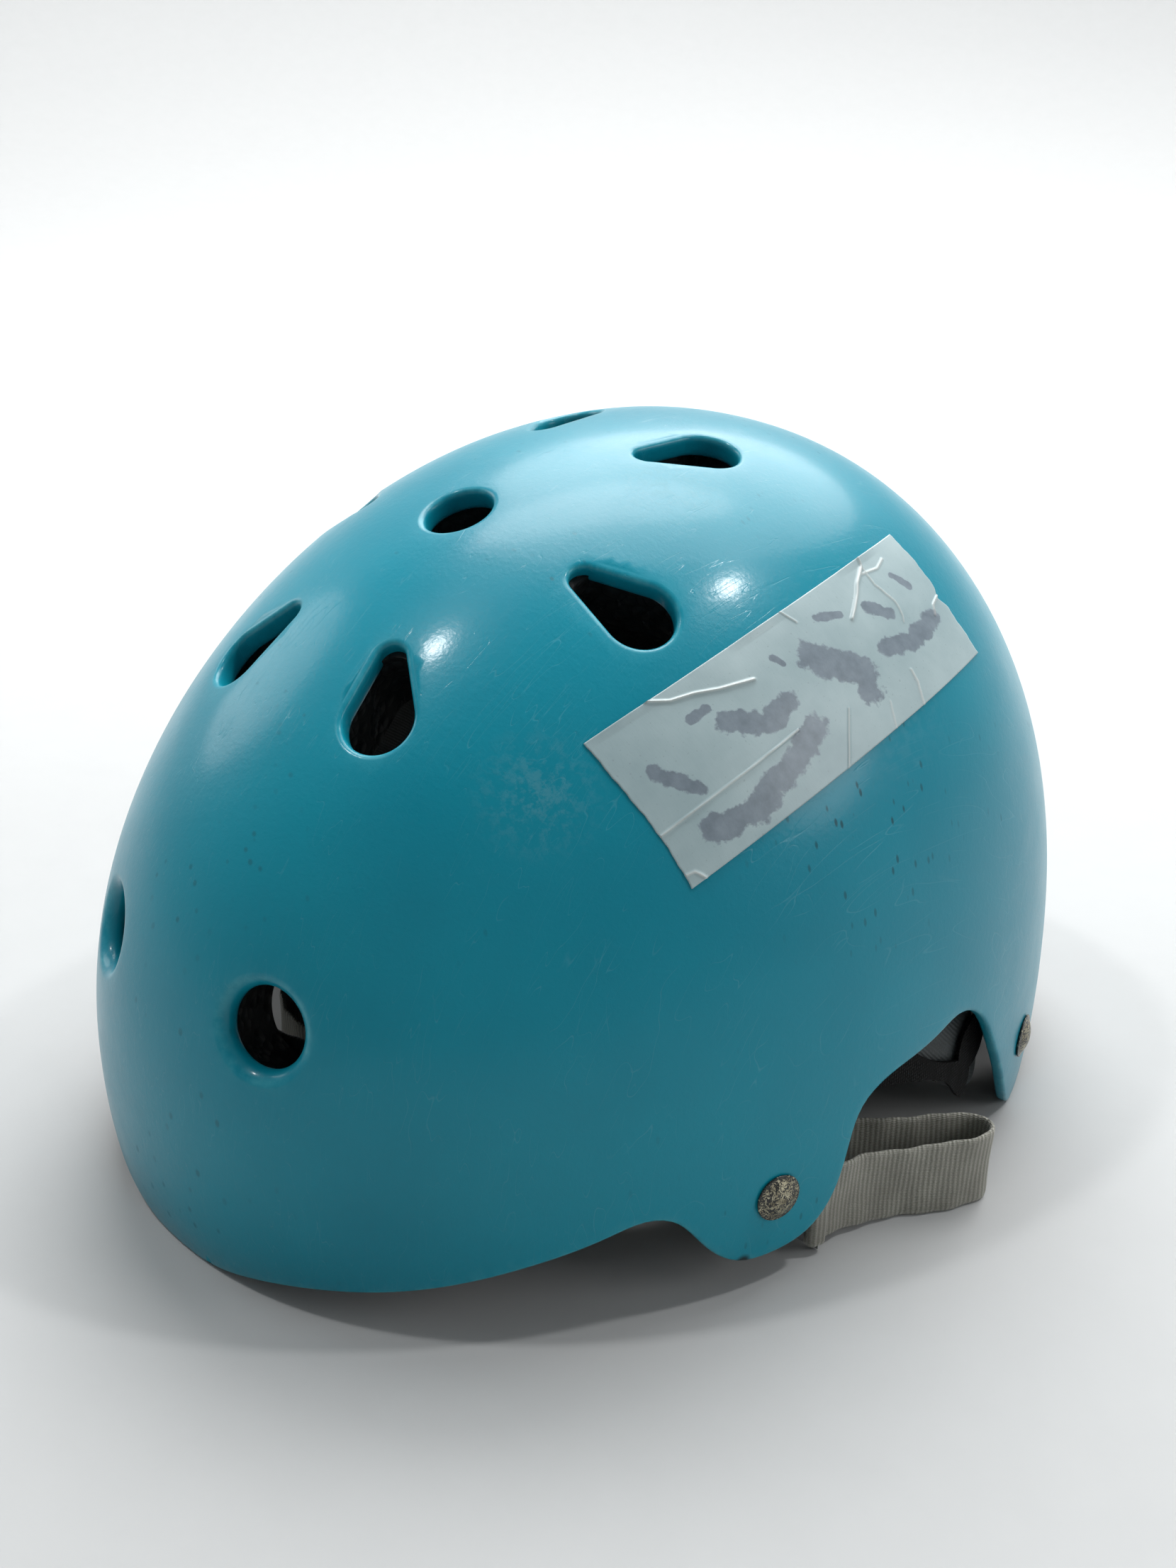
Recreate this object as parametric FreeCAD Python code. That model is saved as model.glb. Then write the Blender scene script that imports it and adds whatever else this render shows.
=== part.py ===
"""Skate-style cycling helmet: hard shell, foam liner, pads, rivets, harness and buckle."""
import FreeCAD, Part
import os
from math import acos, atan2, cos, degrees, hypot, radians, sin, sqrt, tan

V = FreeCAD.Vector
os.makedirs("parts", exist_ok=True)

# ---- driving dimensions, millimetres and degrees ----------------------------------
# The row frame: front is -Y, the wearer's left is +X, up is +Z, the ground is z = 0.
HALF_LENGTH = 138.0        # dome, front to back
HALF_WIDTH = 106.8         # dome, side to side
DOME_HEIGHT = 143.1        # dome, from its widest section to the crown
DOME_TILT = 2.55           # the whole dome leans back by this much
DOME_LIFT = 32.6           # height of the widest section over the ground
DOME_SHIFT = 7.1           # puts the middle of the length at y = 0
PLAN_POWER = 2.109         # 2 would make the plan an ellipse
SIDE_POWER = 2.196         # 2 would make the elevations ellipses

SHELL_THICK = 3.0
LINER_GAP = 0.3
LINER_THICK = 17.7
LIP_DEPTH = 9.0            # how far the rolled vent lips reach in
LIP_WALL = 2.0
LIP_CLEAR = 0.4

VENT_WIDE = 8.9            # radius of a teardrop vent's wide end
VENT_NARROW = 4.0          # radius of its narrow end
VENT_SPAN = 15.2           # between the two centres
HUB_VENT = 8.2             # radius of the centre vent that the teardrops point to
ROUND_VENT = 9.2           # radius of the round vents, front and rear

WEB_WIDTH = 20.0
WEB_THICK = 1.6
WEB_LOW = 0.2              # webbing standing on edge, bottom edge over the ground
WEB_HIGH = 2.4             # the same where it passes a divider or a buckle

RIVET_CAP = 5.8
RIVET_SHANK = 2.2
RIVET_RISE = 2.1
WASHER_THICK = 1.0
ANCHOR_THICK = 1.6

SIDES = {"left": 1, "right": -1}


# ---- the dome ---------------------------------------------------------------------
def dome(theta, phi):
    """Point on the outside: theta turns from the front to the left, phi from the crown."""
    u = sin(phi) * sin(theta)
    v = -sin(phi) * cos(theta)
    w = cos(phi)
    plan = (abs(u) ** PLAN_POWER + abs(v) ** PLAN_POWER) ** (1 / PLAN_POWER)
    round_off = (plan ** SIDE_POWER + abs(w) ** SIDE_POWER) ** (-1 / SIDE_POWER)
    u, v, w = u * round_off, v * round_off, w * round_off
    x = HALF_WIDTH * u * (1 - 0.023 * v - 0.037 * w + 0.030 * w * w + 0.068 * v * w)
    y = HALF_LENGTH * v * (1 - 0.009 * w - 0.053 * v - 0.074 * w * w - 0.040 * v * w)
    y += HALF_LENGTH * 0.055 * w * w
    z = DOME_HEIGHT * w
    lean = radians(DOME_TILT)
    return V(x, y * cos(lean) - z * sin(lean) + DOME_SHIFT,
             y * sin(lean) + z * cos(lean) + DOME_LIFT)


PATCH = 122.0              # the dome is drawn down to this phi, then trimmed
EDGE = 0.96                # and the square patch stops short of its corners


def patch_point(s, t):
    """Point on the outside for a square patch, s and t from -1 to 1."""
    u = s * sqrt(1 - t * t / 2)
    v = t * sqrt(1 - s * s / 2)
    return dome(atan2(u, -v), radians(PATCH) * hypot(u, v))


def patch_inward(s, t):
    step = 1e-4
    across = patch_point(s + step, t) - patch_point(s - step, t)
    along = patch_point(s, t + step) - patch_point(s, t - step)
    return along.cross(across).normalize()


def dome_surface(depth, count=25):
    grid = []
    for i in range(count):
        row = []
        for j in range(count):
            s = EDGE * (2 * i / (count - 1) - 1)
            t = EDGE * (2 * j / (count - 1) - 1)
            row.append(patch_point(s, t) + patch_inward(s, t) * depth)
        grid.append(row)
    surface = Part.BSplineSurface()
    surface.interpolate(grid)
    return surface


def band(outer_depth, inner_depth):
    """Closed solid between two depths under the dome's outside."""
    outer, inner = dome_surface(outer_depth), dome_surface(inner_depth)
    faces = [outer.toShape(), inner.toShape()]
    for (a, b) in (((0, None), (0, None)), ((1, None), (1, None)),
                   ((None, 0), (None, 0)), ((None, 1), (None, 1))):
        faces.append(Part.makeRuledSurface(iso_edge(outer, *a), iso_edge(inner, *b)))
    shell = Part.makeShell(faces)
    shell.sewShape()
    solid = Part.makeSolid(Part.Shell(shell.Faces))
    if solid.Volume < 0:
        solid.reverse()
    return solid


def iso_edge(surface, u, v):
    u0, u1, v0, v1 = surface.bounds()
    if u is not None:
        return surface.uIso(u1 if u else u0).toShape()
    return surface.vIso(v1 if v else v0).toShape()


def frame_at(theta, phi):
    """Place on the dome: point, outward normal and level tangent."""
    point = dome(theta, phi)
    step = 1e-4
    around = dome(theta + step, phi) - dome(theta - step, phi)
    down = dome(theta, phi + step) - dome(theta, phi - step)
    normal = down.cross(around).normalize()
    return point, normal, V(0, 0, 1).cross(normal).normalize()


def nearest(x, y, start):
    """theta and phi of the dome's point over a place in plan."""
    theta, phi = start
    for _ in range(40):
        here = dome(theta, phi)
        step = 1e-5
        a = dome(theta + step, phi) - here
        b = dome(theta, phi + step) - here
        det = (a.x * b.y - b.x * a.y) / step
        ex, ey = x - here.x, y - here.y
        theta += (ex * b.y - b.x * ey) / det
        phi += (a.x * ey - ex * a.y) / det
    return theta, phi


def side_tool(outline, low_x=-140, high_x=140):
    """Solid from an outline in (y, z), run across the helmet."""
    points = [V(low_x, y, z) for y, z in outline]
    wire = Part.makePolygon(points + [points[0]])
    return Part.Face(wire).extrude(V(high_x - low_x, 0, 0))


def above(profile, margin=0.0):
    """Everything over a smooth rim line given as (y, z) points."""
    curve = Part.BSplineCurve()
    curve.interpolate([V(-140, y, z + margin) for y, z in profile])
    first, last = curve.StartPoint, curve.EndPoint
    top = 260
    lines = [Part.LineSegment(last, V(-140, last.y, top)).toShape(),
             Part.LineSegment(V(-140, last.y, top), V(-140, first.y, top)).toShape(),
             Part.LineSegment(V(-140, first.y, top), first).toShape()]
    return Part.Face(Part.Wire([curve.toShape()] + lines)).extrude(V(280, 0, 0))


# The rim seen from the side: brow, temple, ear tab, arch, rear tab and nape.
RIM = [(-160, -2.0), (-140, -1.5), (-135, -1.3), (-133.2, 0.4), (-131.6, 2.8), (-128, 5.9),
       (-120.5, 9.2), (-109, 13.3),
       (-95, 18.6), (-80, 24.2), (-71, 26.6), (-66, 25.0), (-61, 19.8), (-55.5, 13.2), (-49, 9.0),
       (-40, 8.3), (-30, 11.0), (-24.4, 16.6), (-19.5, 30), (-15.5, 39.2), (-8, 43.4),
       (1, 45.2), (12, 47.4), (20, 49.2), (27, 47.4), (33.5, 42.2), (41, 31.6), (50, 18.2),
       (59, 5.6), (67, -0.6), (75, 0.2), (84, 6.5), (97, 12.5), (112, 15.2), (130, 16.0),
       (160, 16.0)]
# The foam stops higher, and leaves the tabs to the shell alone.
LINER_RIM = [(-160, 7), (-140, 7.5), (-126, 14), (-105, 22), (-88, 29), (-76, 36),
             (-62, 41), (-40, 46), (-10, 51), (22, 53.5), (45, 50), (66, 44), (82, 32),
             (97, 23), (112, 21), (160, 21)]


# ---- vents ------------------------------------------------------------------------
def teardrop(wide, narrow, span):
    """Closed outline in (along, across): wide end behind, narrow end in front."""
    middle = (span + narrow - wide) / 2
    back, front = middle - span, middle
    open_angle = acos((wide - narrow) / span)
    c, s = cos(open_angle), sin(open_angle)
    wide_top = V(back + wide * c, wide * s, 0)
    wide_low = V(back + wide * c, -wide * s, 0)
    narrow_top = V(front + narrow * c, narrow * s, 0)
    narrow_low = V(front + narrow * c, -narrow * s, 0)
    return Part.Wire([
        Part.Arc(wide_top, V(back - wide, 0, 0), wide_low).toShape(),
        Part.LineSegment(wide_low, narrow_low).toShape(),
        Part.Arc(narrow_low, V(front + narrow, 0, 0), narrow_top).toShape(),
        Part.LineSegment(narrow_top, wide_top).toShape()])


def placed(shape, point, normal, along):
    """Move a shape drawn in XY so that Z is the normal and X runs along."""
    along = (along - normal * along.dot(normal)).normalize()
    side = normal.cross(along)
    m = FreeCAD.Matrix(along.x, side.x, normal.x, point.x,
                       along.y, side.y, normal.y, point.y,
                       along.z, side.z, normal.z, point.z, 0, 0, 0, 1)
    copy = shape.copy()
    copy.Placement = FreeCAD.Placement(m).multiply(copy.Placement)
    return copy


HUB = (0.0, -49.1)
TEARDROPS = [(23.6, -90.0), (48.2, -43.0), (22.2, 3.3)]
ROUNDS = [(radians(17.4), radians(72.8)), (radians(162.6), radians(76.0))]


def vent_cutters(grow, top=12, bottom=-40):
    """One prism for each vent, grown all round by that much."""
    tools = []
    for x, y in TEARDROPS:
        for side in SIDES.values():
            start = (atan2(side * x, -y), radians(25))
            point, normal, _ = frame_at(*nearest(side * x, y, start))
            wire = teardrop(VENT_WIDE + grow, VENT_NARROW + grow, VENT_SPAN)
            solid = Part.Face(wire).extrude(V(0, 0, top - bottom))
            solid.translate(V(0, 0, bottom))
            inward = V(HUB[0] - side * x, HUB[1] - y, 0)
            tools.append(placed(solid, point, normal, inward))
    point, normal, _ = frame_at(*nearest(HUB[0], HUB[1], (0.0, radians(25))))
    hub = Part.makeCylinder(HUB_VENT + grow, top - bottom, V(0, 0, bottom))
    tools.append(placed(hub, point, normal, V(0, 1, 0)))
    for theta, phi in ROUNDS:
        for side in SIDES.values():
            point, normal, level = frame_at(side * theta, phi)
            tool = Part.makeCylinder(ROUND_VENT + grow, top - bottom, V(0, 0, bottom))
            tools.append(placed(tool, point, normal, level))
    return tools


# ---- rivets and strap anchors ------------------------------------------------------
RIVETS = {"front": (radians(70.2), radians(92.5)), "rear": (radians(115.0), radians(95.4))}


def rivet_frame(place, side):
    """The rivet's place, its axis, and the level direction towards the back."""
    theta, phi = RIVETS[place]
    point, normal, level = frame_at(side * theta, phi)
    return point, normal, level if level.y > 0 else level * -1


def revolved(profile):
    """Solid of revolution about Z from (radius, height) points."""
    points = [V(r, 0, h) for r, h in profile]
    face = Part.Face(Part.makePolygon(points + [points[0]]))
    return face.revolve(V(0, 0, 0), V(0, 0, 1), 360)


def rivet_solid(depth):
    """Domed cap outside, shank through shell and anchor, and a set head inside."""
    radius = (RIVET_CAP ** 2 + RIVET_RISE ** 2) / (2 * RIVET_RISE)
    dome_cap = Part.makeSphere(radius, V(0, 0, RIVET_RISE - radius + 0.4))
    cap = dome_cap.common(Part.makeCylinder(RIVET_CAP, 5, V(0, 0, 0.4)))
    rim = Part.makeCylinder(RIVET_CAP, 0.3, V(0, 0, 0.1))
    under = depth + ANCHOR_THICK + WASHER_THICK + 0.2
    shank = Part.makeCylinder(RIVET_SHANK, under + 0.6, V(0, 0, -under - 0.5))
    head = revolved([(0, -under - 1.8), (3.0, -under - 1.8), (4.2, -under - 1.0),
                     (4.2, -under), (0, -under)])
    return cap.fuse([rim, shank, head]).removeSplitter()


def washer_solid(depth):
    low = -depth - ANCHOR_THICK - WASHER_THICK - 0.1
    ring = Part.makeCylinder(6.0, WASHER_THICK, V(0, 0, low))
    return ring.cut(Part.makeCylinder(RIVET_SHANK + 0.15, 3, V(0, 0, low - 1)))


def anchor_solid(depth, reach, drop, up):
    """Flat plate with an eye on the rivet and an upright webbing slot at its far end."""
    eye = 7.5
    half = WEB_WIDTH / 2
    low, high = drop - half - 2.2, drop + half + 2.2
    corners = [(-1, eye), (reach, high), (reach, low), (-5, -5.6), (-1, eye)]
    outline = Part.makePolygon([V(x, up * y, 0) for x, y in corners])
    plate = Part.Face(outline).extrude(V(0, 0, ANCHOR_THICK))
    plate = plate.fuse(Part.makeCylinder(eye, ANCHOR_THICK)).removeSplitter()
    slot = Part.makeBox(2.6, WEB_WIDTH + 0.8, 6, V(reach - 4.6, up * drop - half - 0.4, -2))
    hole = Part.makeCylinder(RIVET_SHANK + 0.15, 6, V(0, 0, -2))
    plate = plate.cut(slot).cut(hole)
    plate.translate(V(0, 0, -depth - ANCHOR_THICK))
    return plate


# Depth under the shell's outside, reach back from the rivet, and drop of the slot.
ANCHORS = {"front": (4.6, 17.0, -11.6), "rear": (5.2, 16.0, -9.0)}


def anchor_at(place, side):
    point, normal, level = rivet_frame(place, side)
    plate = anchor_solid(*ANCHORS[place], side)
    return placed(plate, point, normal, level)


def anchor_tip(place, side):
    """Plan point in the middle of an anchor plate's far edge, where the webbing starts."""
    point, normal, level = rivet_frame(place, side)
    depth, reach, _ = ANCHORS[place]
    tip = point + level * (reach + 0.05) - normal * (depth + ANCHOR_THICK / 2)
    return tip.x, tip.y


# ---- webbing -----------------------------------------------------------------------
def rounded_path(points):
    """Lines and tangent arcs through plan points: a list of ('line'|'arc', ...)."""
    pieces = []
    at = points[0]
    for before, corner, after in zip(points, points[1:], points[2:]):
        a, b = unit(before, corner), unit(corner, after)
        turn = atan2(a[0] * b[1] - a[1] * b[0], a[0] * b[0] + a[1] * b[1])
        shorter = min(far(before, corner), far(corner, after))
        back = 0.45 * shorter
        radius = back / tan(abs(turn) / 2)
        start = (corner[0] - a[0] * back, corner[1] - a[1] * back)
        end = (corner[0] + b[0] * back, corner[1] + b[1] * back)
        pieces.append(("line", at, start))
        pieces.append(("arc", start, end, a, turn, radius))
        at = end
    pieces.append(("line", at, points[-1]))
    return pieces


def unit(a, b):
    d = far(a, b)
    return ((b[0] - a[0]) / d, (b[1] - a[1]) / d)


def far(a, b):
    return hypot(b[0] - a[0], b[1] - a[1])


def offset_edges(pieces, shift):
    """The path's own edges moved sideways to its left by shift."""
    edges = []
    for piece in pieces:
        if piece[0] == "line":
            (ax, ay), (bx, by) = piece[1], piece[2]
            ux, uy = unit(piece[1], piece[2])
            edges.append(Part.LineSegment(V(ax - uy * shift, ay + ux * shift, 0),
                                          V(bx - uy * shift, by + ux * shift, 0)))
        else:
            _, start, end, heading, turn, radius = piece
            sign = 1 if turn > 0 else -1
            cx = start[0] - heading[1] * sign * radius
            cy = start[1] + heading[0] * sign * radius
            r = radius - sign * shift
            first = atan2(start[1] - cy, start[0] - cx)
            spots = [V(cx + r * cos(first + turn * k), cy + r * sin(first + turn * k), 0)
                     for k in (0, 0.5, 1)]
            edges.append(Part.Arc(*spots))
    return edges


def webbing(name, points, rise=None):
    """Webbing on edge along a plan route; rise gives its bottom edge over y."""
    pieces = rounded_path(points)
    left = [e.toShape() for e in offset_edges(pieces, WEB_THICK / 2)]
    right = [e.toShape() for e in offset_edges(pieces, -WEB_THICK / 2)]
    ends = [Part.LineSegment(left[0].Vertexes[0].Point, right[0].Vertexes[0].Point),
            Part.LineSegment(left[-1].Vertexes[-1].Point, right[-1].Vertexes[-1].Point)]
    wire = Part.Wire(Part.__sortEdges__(left + right + [e.toShape() for e in ends]))
    solid = Part.Face(wire).extrude(V(0, 0, 60))
    solid.translate(V(0, 0, -20))
    low, high = -200, 200
    steps = [(low, WEB_HIGH), (-18, WEB_HIGH), (0, WEB_LOW), (55, WEB_LOW),
             (77, WEB_HIGH), (high, WEB_HIGH)]
    outline = steps + [(y, z + WEB_WIDTH) for y, z in reversed(steps)]
    solid = solid.common(side_tool(outline))
    length = sum(far(p[1], p[2]) if p[0] == "line" else abs(p[4]) * p[5] for p in pieces)
    tight = min(p[5] for p in pieces if p[0] == "arc")
    print(f"{name}: {length:.0f} mm, tightest {tight:.1f}, "
          f"volume ratio {solid.Volume / (length * WEB_THICK * WEB_WIDTH):.3f}")
    return solid


DIVIDER_PITCH = 4.4        # between the two straps that pass through a divider

# Routes in plan. The left front leg makes the standing loop beside the ear opening, and
# its long straight run is the one that the divider slides on.
ROUTES = {
    "left_front_strap": [
        anchor_tip("front", 1), (101.2, -11.5), (105.4, 0.6), (111.2, 10.4), (115.2, 18.8),
        (115.8, 25.4), (110.8, 28.2), (106.0, 22.8), (98.6, 11.6), (86.0, -8.2),
        (58.5, -56.6), (48.0, -67.0), (37.0, -62.0), (31.0, -45.0),
        (28.0, -25.0), (27.0, -4.0)],
    "right_front_strap": [
        anchor_tip("front", -1), (-101.0, -11.5), (-97.5, 0.5), (-89.0, 2.0), (-82.5, -14.4),
        (-58.5, -56.6), (-50.0, -70.0), (-38.0, -76.0), (-12.0, -76.0)],
    "right_strap_tail": [(-12.8, -72.4), (-36.8, -72.4), (-47.2, -67.2), (-53.0, -58.2)],
}


def beside(strap, side):
    """Plan points of a second strap that runs beside a front strap's long straight run."""
    a, b = max(zip(ROUTES[strap], ROUTES[strap][1:]), key=lambda run: far(*run))
    ux, uy = unit(a, b)
    out = side * DIVIDER_PITCH
    length = far(a, b)
    return [(a[0] + ux * t + uy * out, a[1] + uy * t - ux * out) for t in (5.0, length - 6.0)]


ROUTES["left_rear_strap"] = [
    anchor_tip("rear", 1), (81.5, 86.0), (71.0, 89.0), (58.5, 79.0), (51.0, 61.0),
    (50.5, 41.0), (57.0, 24.5), (69.5, 8.0), *beside("left_front_strap", 1)]
ROUTES["right_rear_strap"] = [
    anchor_tip("rear", -1), (-81.0, 86.5), (-74.5, 86.0), (-71.5, 75.0), (-70.5, 56.0),
    (-71.5, 36.0), (-76.6, 3.0), *beside("right_front_strap", -1)]

DIVIDER_LONG = 14.0
KEEPER_LONG = 8.0
RAIL_HIGH = 24.8           # height of every piece that the webbing passes through
SLOT_LOW, SLOT_HIGH = 2.0, 22.8


def standing(shape, at, heading):
    """Turn a piece drawn along X to a heading in plan, and stand it at a place."""
    turn = FreeCAD.Rotation(V(0, 0, 1), degrees(atan2(heading[1], heading[0])))
    copy = shape.copy()
    copy.Placement = FreeCAD.Placement(V(at[0], at[1], 0), turn)
    return copy


def rounded_block(length, thick, height, x=0.0, z=0.0, round_by=1.2):
    block = Part.makeBox(length, thick, height, V(x, -thick / 2, z))
    return block.makeFillet(round_by, block.Edges)


def divider_solid():
    """Two slots side by side, so that two straps leave it as one."""
    body = rounded_block(DIVIDER_LONG, 10.6, RAIL_HIGH, -DIVIDER_LONG / 2)
    for side in (-1, 1):
        slot = Part.makeBox(40, 2.8, SLOT_HIGH - SLOT_LOW,
                            V(-20, side * DIVIDER_PITCH / 2 - 1.4, SLOT_LOW))
        body = body.cut(slot)
    return body


def keeper_solid():
    """Ring that holds the strap's tail against the strap."""
    body = rounded_block(KEEPER_LONG, 9.4, RAIL_HIGH, -KEEPER_LONG / 2)
    return body.cut(Part.makeBox(40, 6.4, SLOT_HIGH - SLOT_LOW, V(-20, -3.2, SLOT_LOW)))


SOCKET_LONG = 33.0
PRONG_ROOT = 14.0
PRONG_LONG = 18.7


def socket_solid():
    """Female half: webbing bar, then a flat socket with a window in each edge."""
    body = rounded_block(SOCKET_LONG, 9.6, RAIL_HIGH)
    body = body.cut(Part.makeBox(4.0, 20, SLOT_HIGH - SLOT_LOW, V(2.2, -10, SLOT_LOW)))
    body = body.cut(Part.makeBox(30, 4.8, 20.4, V(11, -2.4, 2.2)))
    for low in (-1, SLOT_HIGH - 0.4):
        body = body.cut(Part.makeBox(9, 4.8, 4, V(16, -2.4, low)))
    thumb_ledge = Part.makeBox(2.2, 1.2, 16, V(26, -5.4, 4.4))
    return body.fuse([thumb_ledge, thumb_ledge.mirror(V(0, 0, 0), V(0, 1, 0))])


def clip_solid():
    """Male half without its prongs: ladder bars for the webbing, base and guide."""
    body = rounded_block(PRONG_ROOT, 9.6, RAIL_HIGH)
    for start in (2.2, 7.4):
        body = body.cut(Part.makeBox(3.4, 20, SLOT_HIGH - SLOT_LOW, V(start, -10, SLOT_LOW)))
    guide = Part.makeBox(17, 3.6, 3.6, V(PRONG_ROOT - 1, -1.8, RAIL_HIGH / 2 - 1.8))
    tip = [e for e in guide.Edges if all(v.Point.x > PRONG_ROOT + 10 for v in e.Vertexes)]
    return body.fuse(guide.makeFillet(1.0, tip)).removeSplitter()


def prong_solid(up):
    """Springy arm with a barbed head; up is +1 for the top prong, -1 for the lower."""
    outline = [(0.3, 5.8), (10, 6.4), (17, 7.2), (PRONG_LONG, 8.6), (16.5, 11.2),
               (10.2, 11.4), (9.6, 9.0), (0.3, 8.0)]
    points = [V(PRONG_ROOT + x, -1.8, RAIL_HIGH / 2 + up * z) for x, z in outline]
    return Part.Face(Part.makePolygon(points + [points[0]])).extrude(V(0, 3.6, 0))


# ---- padding, fasteners for it, and the label ---------------------------------------
PAD_DEPTH = LINER_GAP + SHELL_THICK + LINER_THICK + 1.0
PAD_THICK = 9.0
SIDE_PAD_DEPTH = 7.6
SIDE_PAD_THICK = 10.4
HOOK_THICK = 0.9


def upright_tool(x0, x1, y0, y1, z0, z1, corner, axis):
    """Box with its four edges along one axis rounded."""
    box = Part.makeBox(x1 - x0, y1 - y0, z1 - z0, V(x0, y0, z0))
    edges = [e for e in box.Edges
             if abs(getattr(e.Vertexes[0].Point - e.Vertexes[1].Point, axis)) > 1]
    return box.makeFillet(corner, edges)


def smooth_outline_tool(outline, low_x, high_x):
    """Solid from a closed smooth outline in (y, z), run across the helmet."""
    curve = Part.BSplineCurve()
    curve.interpolate([V(low_x, y, z) for y, z in outline], PeriodicFlag=True)
    return Part.Face(Part.Wire(curve.toShape())).extrude(V(high_x - low_x, 0, 0))


# The side pad hangs under the foam and shows through the arch.
SIDE_PAD = [(-27, 41), (-14, 46.5), (10, 48.6), (34, 47.6), (44, 42), (50, 30), (56, 18),
            (55, 9.5), (46, 9.0), (32, 19), (14, 29.5), (-8, 36), (-24, 36.5)]
PAD_DISC = (41.5, 29.0, 7.6)     # y, z and radius of its hook disc
PAD_STRIP = [(-8, 37), (14, 30.4), (32, 20), (40, 14), (42, 20.5), (33, 27.5), (15, 37),
             (-7, 41.5)]
TAPE = [(60.8, -65.4, 128.0), (84.2, -55.0, 99.8), (78.2, 50.3, 127.2), (58.2, 37.2, 154.8)]
TAPE_THICK = 0.3


def tape_tool():
    """Prism through the tape's four corners."""
    corners = [V(*c) for c in TAPE]
    normal = (corners[2] - corners[0]).cross(corners[3] - corners[1]).normalize()
    middle = sum(corners, V()) * 0.25
    flat = [c - normal * (c - middle).dot(normal) - normal * 25 for c in corners]
    return Part.Face(Part.makePolygon(flat + [flat[0]])).extrude(normal * 50)


def group(solids):
    return Part.makeCompound(list(solids))


def as_solid(shape):
    """The one solid of a boolean's result."""
    assert len(shape.Solids) == 1, f"{len(shape.Solids)} solids"
    return shape.Solids[0]


# ---- the pieces ---------------------------------------------------------------------
def outer_shell():
    over_ground = Part.makeBox(400, 400, 300, V(-200, -200, 0))
    skin = band(0, SHELL_THICK).common(above(RIM)).common(over_ground)
    lip_band = band(SHELL_THICK - 0.5, LIP_DEPTH)
    holes = vent_cutters(0)
    collars = []
    for outer, hole in zip(vent_cutters(LIP_WALL), holes):
        collars.append(outer.common(lip_band).cut(hole))
    shell = skin.cut(group(holes)).fuse(collars)
    shanks = []
    for place in RIVETS:
        for side in SIDES.values():
            point, normal, level = rivet_frame(place, side)
            hole = Part.makeCylinder(RIVET_SHANK + 0.1, 10, V(0, 0, -6))
            shanks.append(placed(hole, point, normal, level))
    return as_solid(shell.cut(group(shanks)))


# The foam is five blocks that meet face to face: a crown block, and four round its edge.
CROWN_CUT = 112.0          # height of the crown block's flat underside
FOAM_BLOCKS = {"foam_front": (-50, 50), "foam_left": (50, 130), "foam_rear": (130, 230),
               "foam_right": (230, 310)}


def wedge(first, last):
    """Prism below the crown block, between two plan directions in degrees from the front."""
    points = [V(0, 0, -10)]
    for turn in (first, (first + last) / 2, last):
        points.append(V(300 * sin(radians(turn)), -300 * cos(radians(turn)), -10))
    return Part.Face(Part.makePolygon(points + [points[0]])).extrude(V(0, 0, CROWN_CUT + 10))


def foam_blocks():
    depth = SHELL_THICK + LINER_GAP
    foam = band(depth, depth + LINER_THICK).common(above(LINER_RIM))
    foam = foam.cut(group(vent_cutters(LIP_WALL + LIP_CLEAR)))
    over_cut = Part.makeBox(400, 400, 200, V(-200, -200, CROWN_CUT))
    blocks = {"foam_crown": as_solid(foam.common(over_cut))}
    for name, (first, last) in FOAM_BLOCKS.items():
        blocks[name] = as_solid(foam.common(wedge(first, last)))
    return blocks


def pad(tool, depth=PAD_DEPTH, thick=PAD_THICK):
    return as_solid(band(depth, depth + thick).common(tool))


def hook_disc(theta, phi, radius, depth, thick):
    point, normal, level = frame_at(theta, phi)
    tool = placed(Part.makeCylinder(radius, 60, V(0, 0, -50)), point, normal, level)
    return as_solid(band(depth, depth + thick).common(tool))


def pads():
    made = {
        "front_pad": pad(upright_tool(-58, 58, -150, -60, 26, 54, 12, "y")),
        "rear_pad": pad(upright_tool(-52, 52, 60, 150, 34, 66, 12, "y")),
    }
    for name, side in SIDES.items():
        made[f"{name}_crown_pad"] = pad(
            upright_tool(*sorted((side * 20, side * 44)), 28, 78, 60, 190, 9, "z"))
        made[f"{name}_temple_pad"] = pad(
            upright_tool(*sorted((side * 50, side * 110)), -34, 40, 62, 98, 12, "x"))
        outline = smooth_outline_tool(SIDE_PAD, *sorted((side * 60, side * 120)))
        made[f"{name}_ear_pad"] = pad(outline, SIDE_PAD_DEPTH, SIDE_PAD_THICK)
    return made


def hook_pieces():
    """Hook-and-loop discs behind the pads, and the disc and strip on each ear pad."""
    depth, thick = PAD_DEPTH - 0.95, HOOK_THICK
    spots = [(0, 88), (24, 86), (-24, 86), (168, 78), (-168, 78),
             (146, 22), (146, 34), (-146, 22), (-146, 34),
             (84, 62), (102, 62), (-84, 62), (-102, 62)]
    discs = [hook_disc(radians(t), radians(p), 6, depth, thick) for t, p in spots]
    ear = []
    surface = band(SIDE_PAD_DEPTH - 1.0, SIDE_PAD_DEPTH - 0.05)
    for side in SIDES.values():
        y, z, radius = PAD_DISC
        disc = Part.makeCylinder(radius, 60, V(side * 60, y, z), V(side, 0, 0))
        strip = smooth_outline_tool(PAD_STRIP, *sorted((side * 60, side * 120)))
        ear.append(as_solid(surface.common(strip).cut(disc)))
        ear.append(as_solid(surface.common(disc)))
    return {"pad_hook_discs": group(discs), "ear_pad_hooks": group(ear)}


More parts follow.
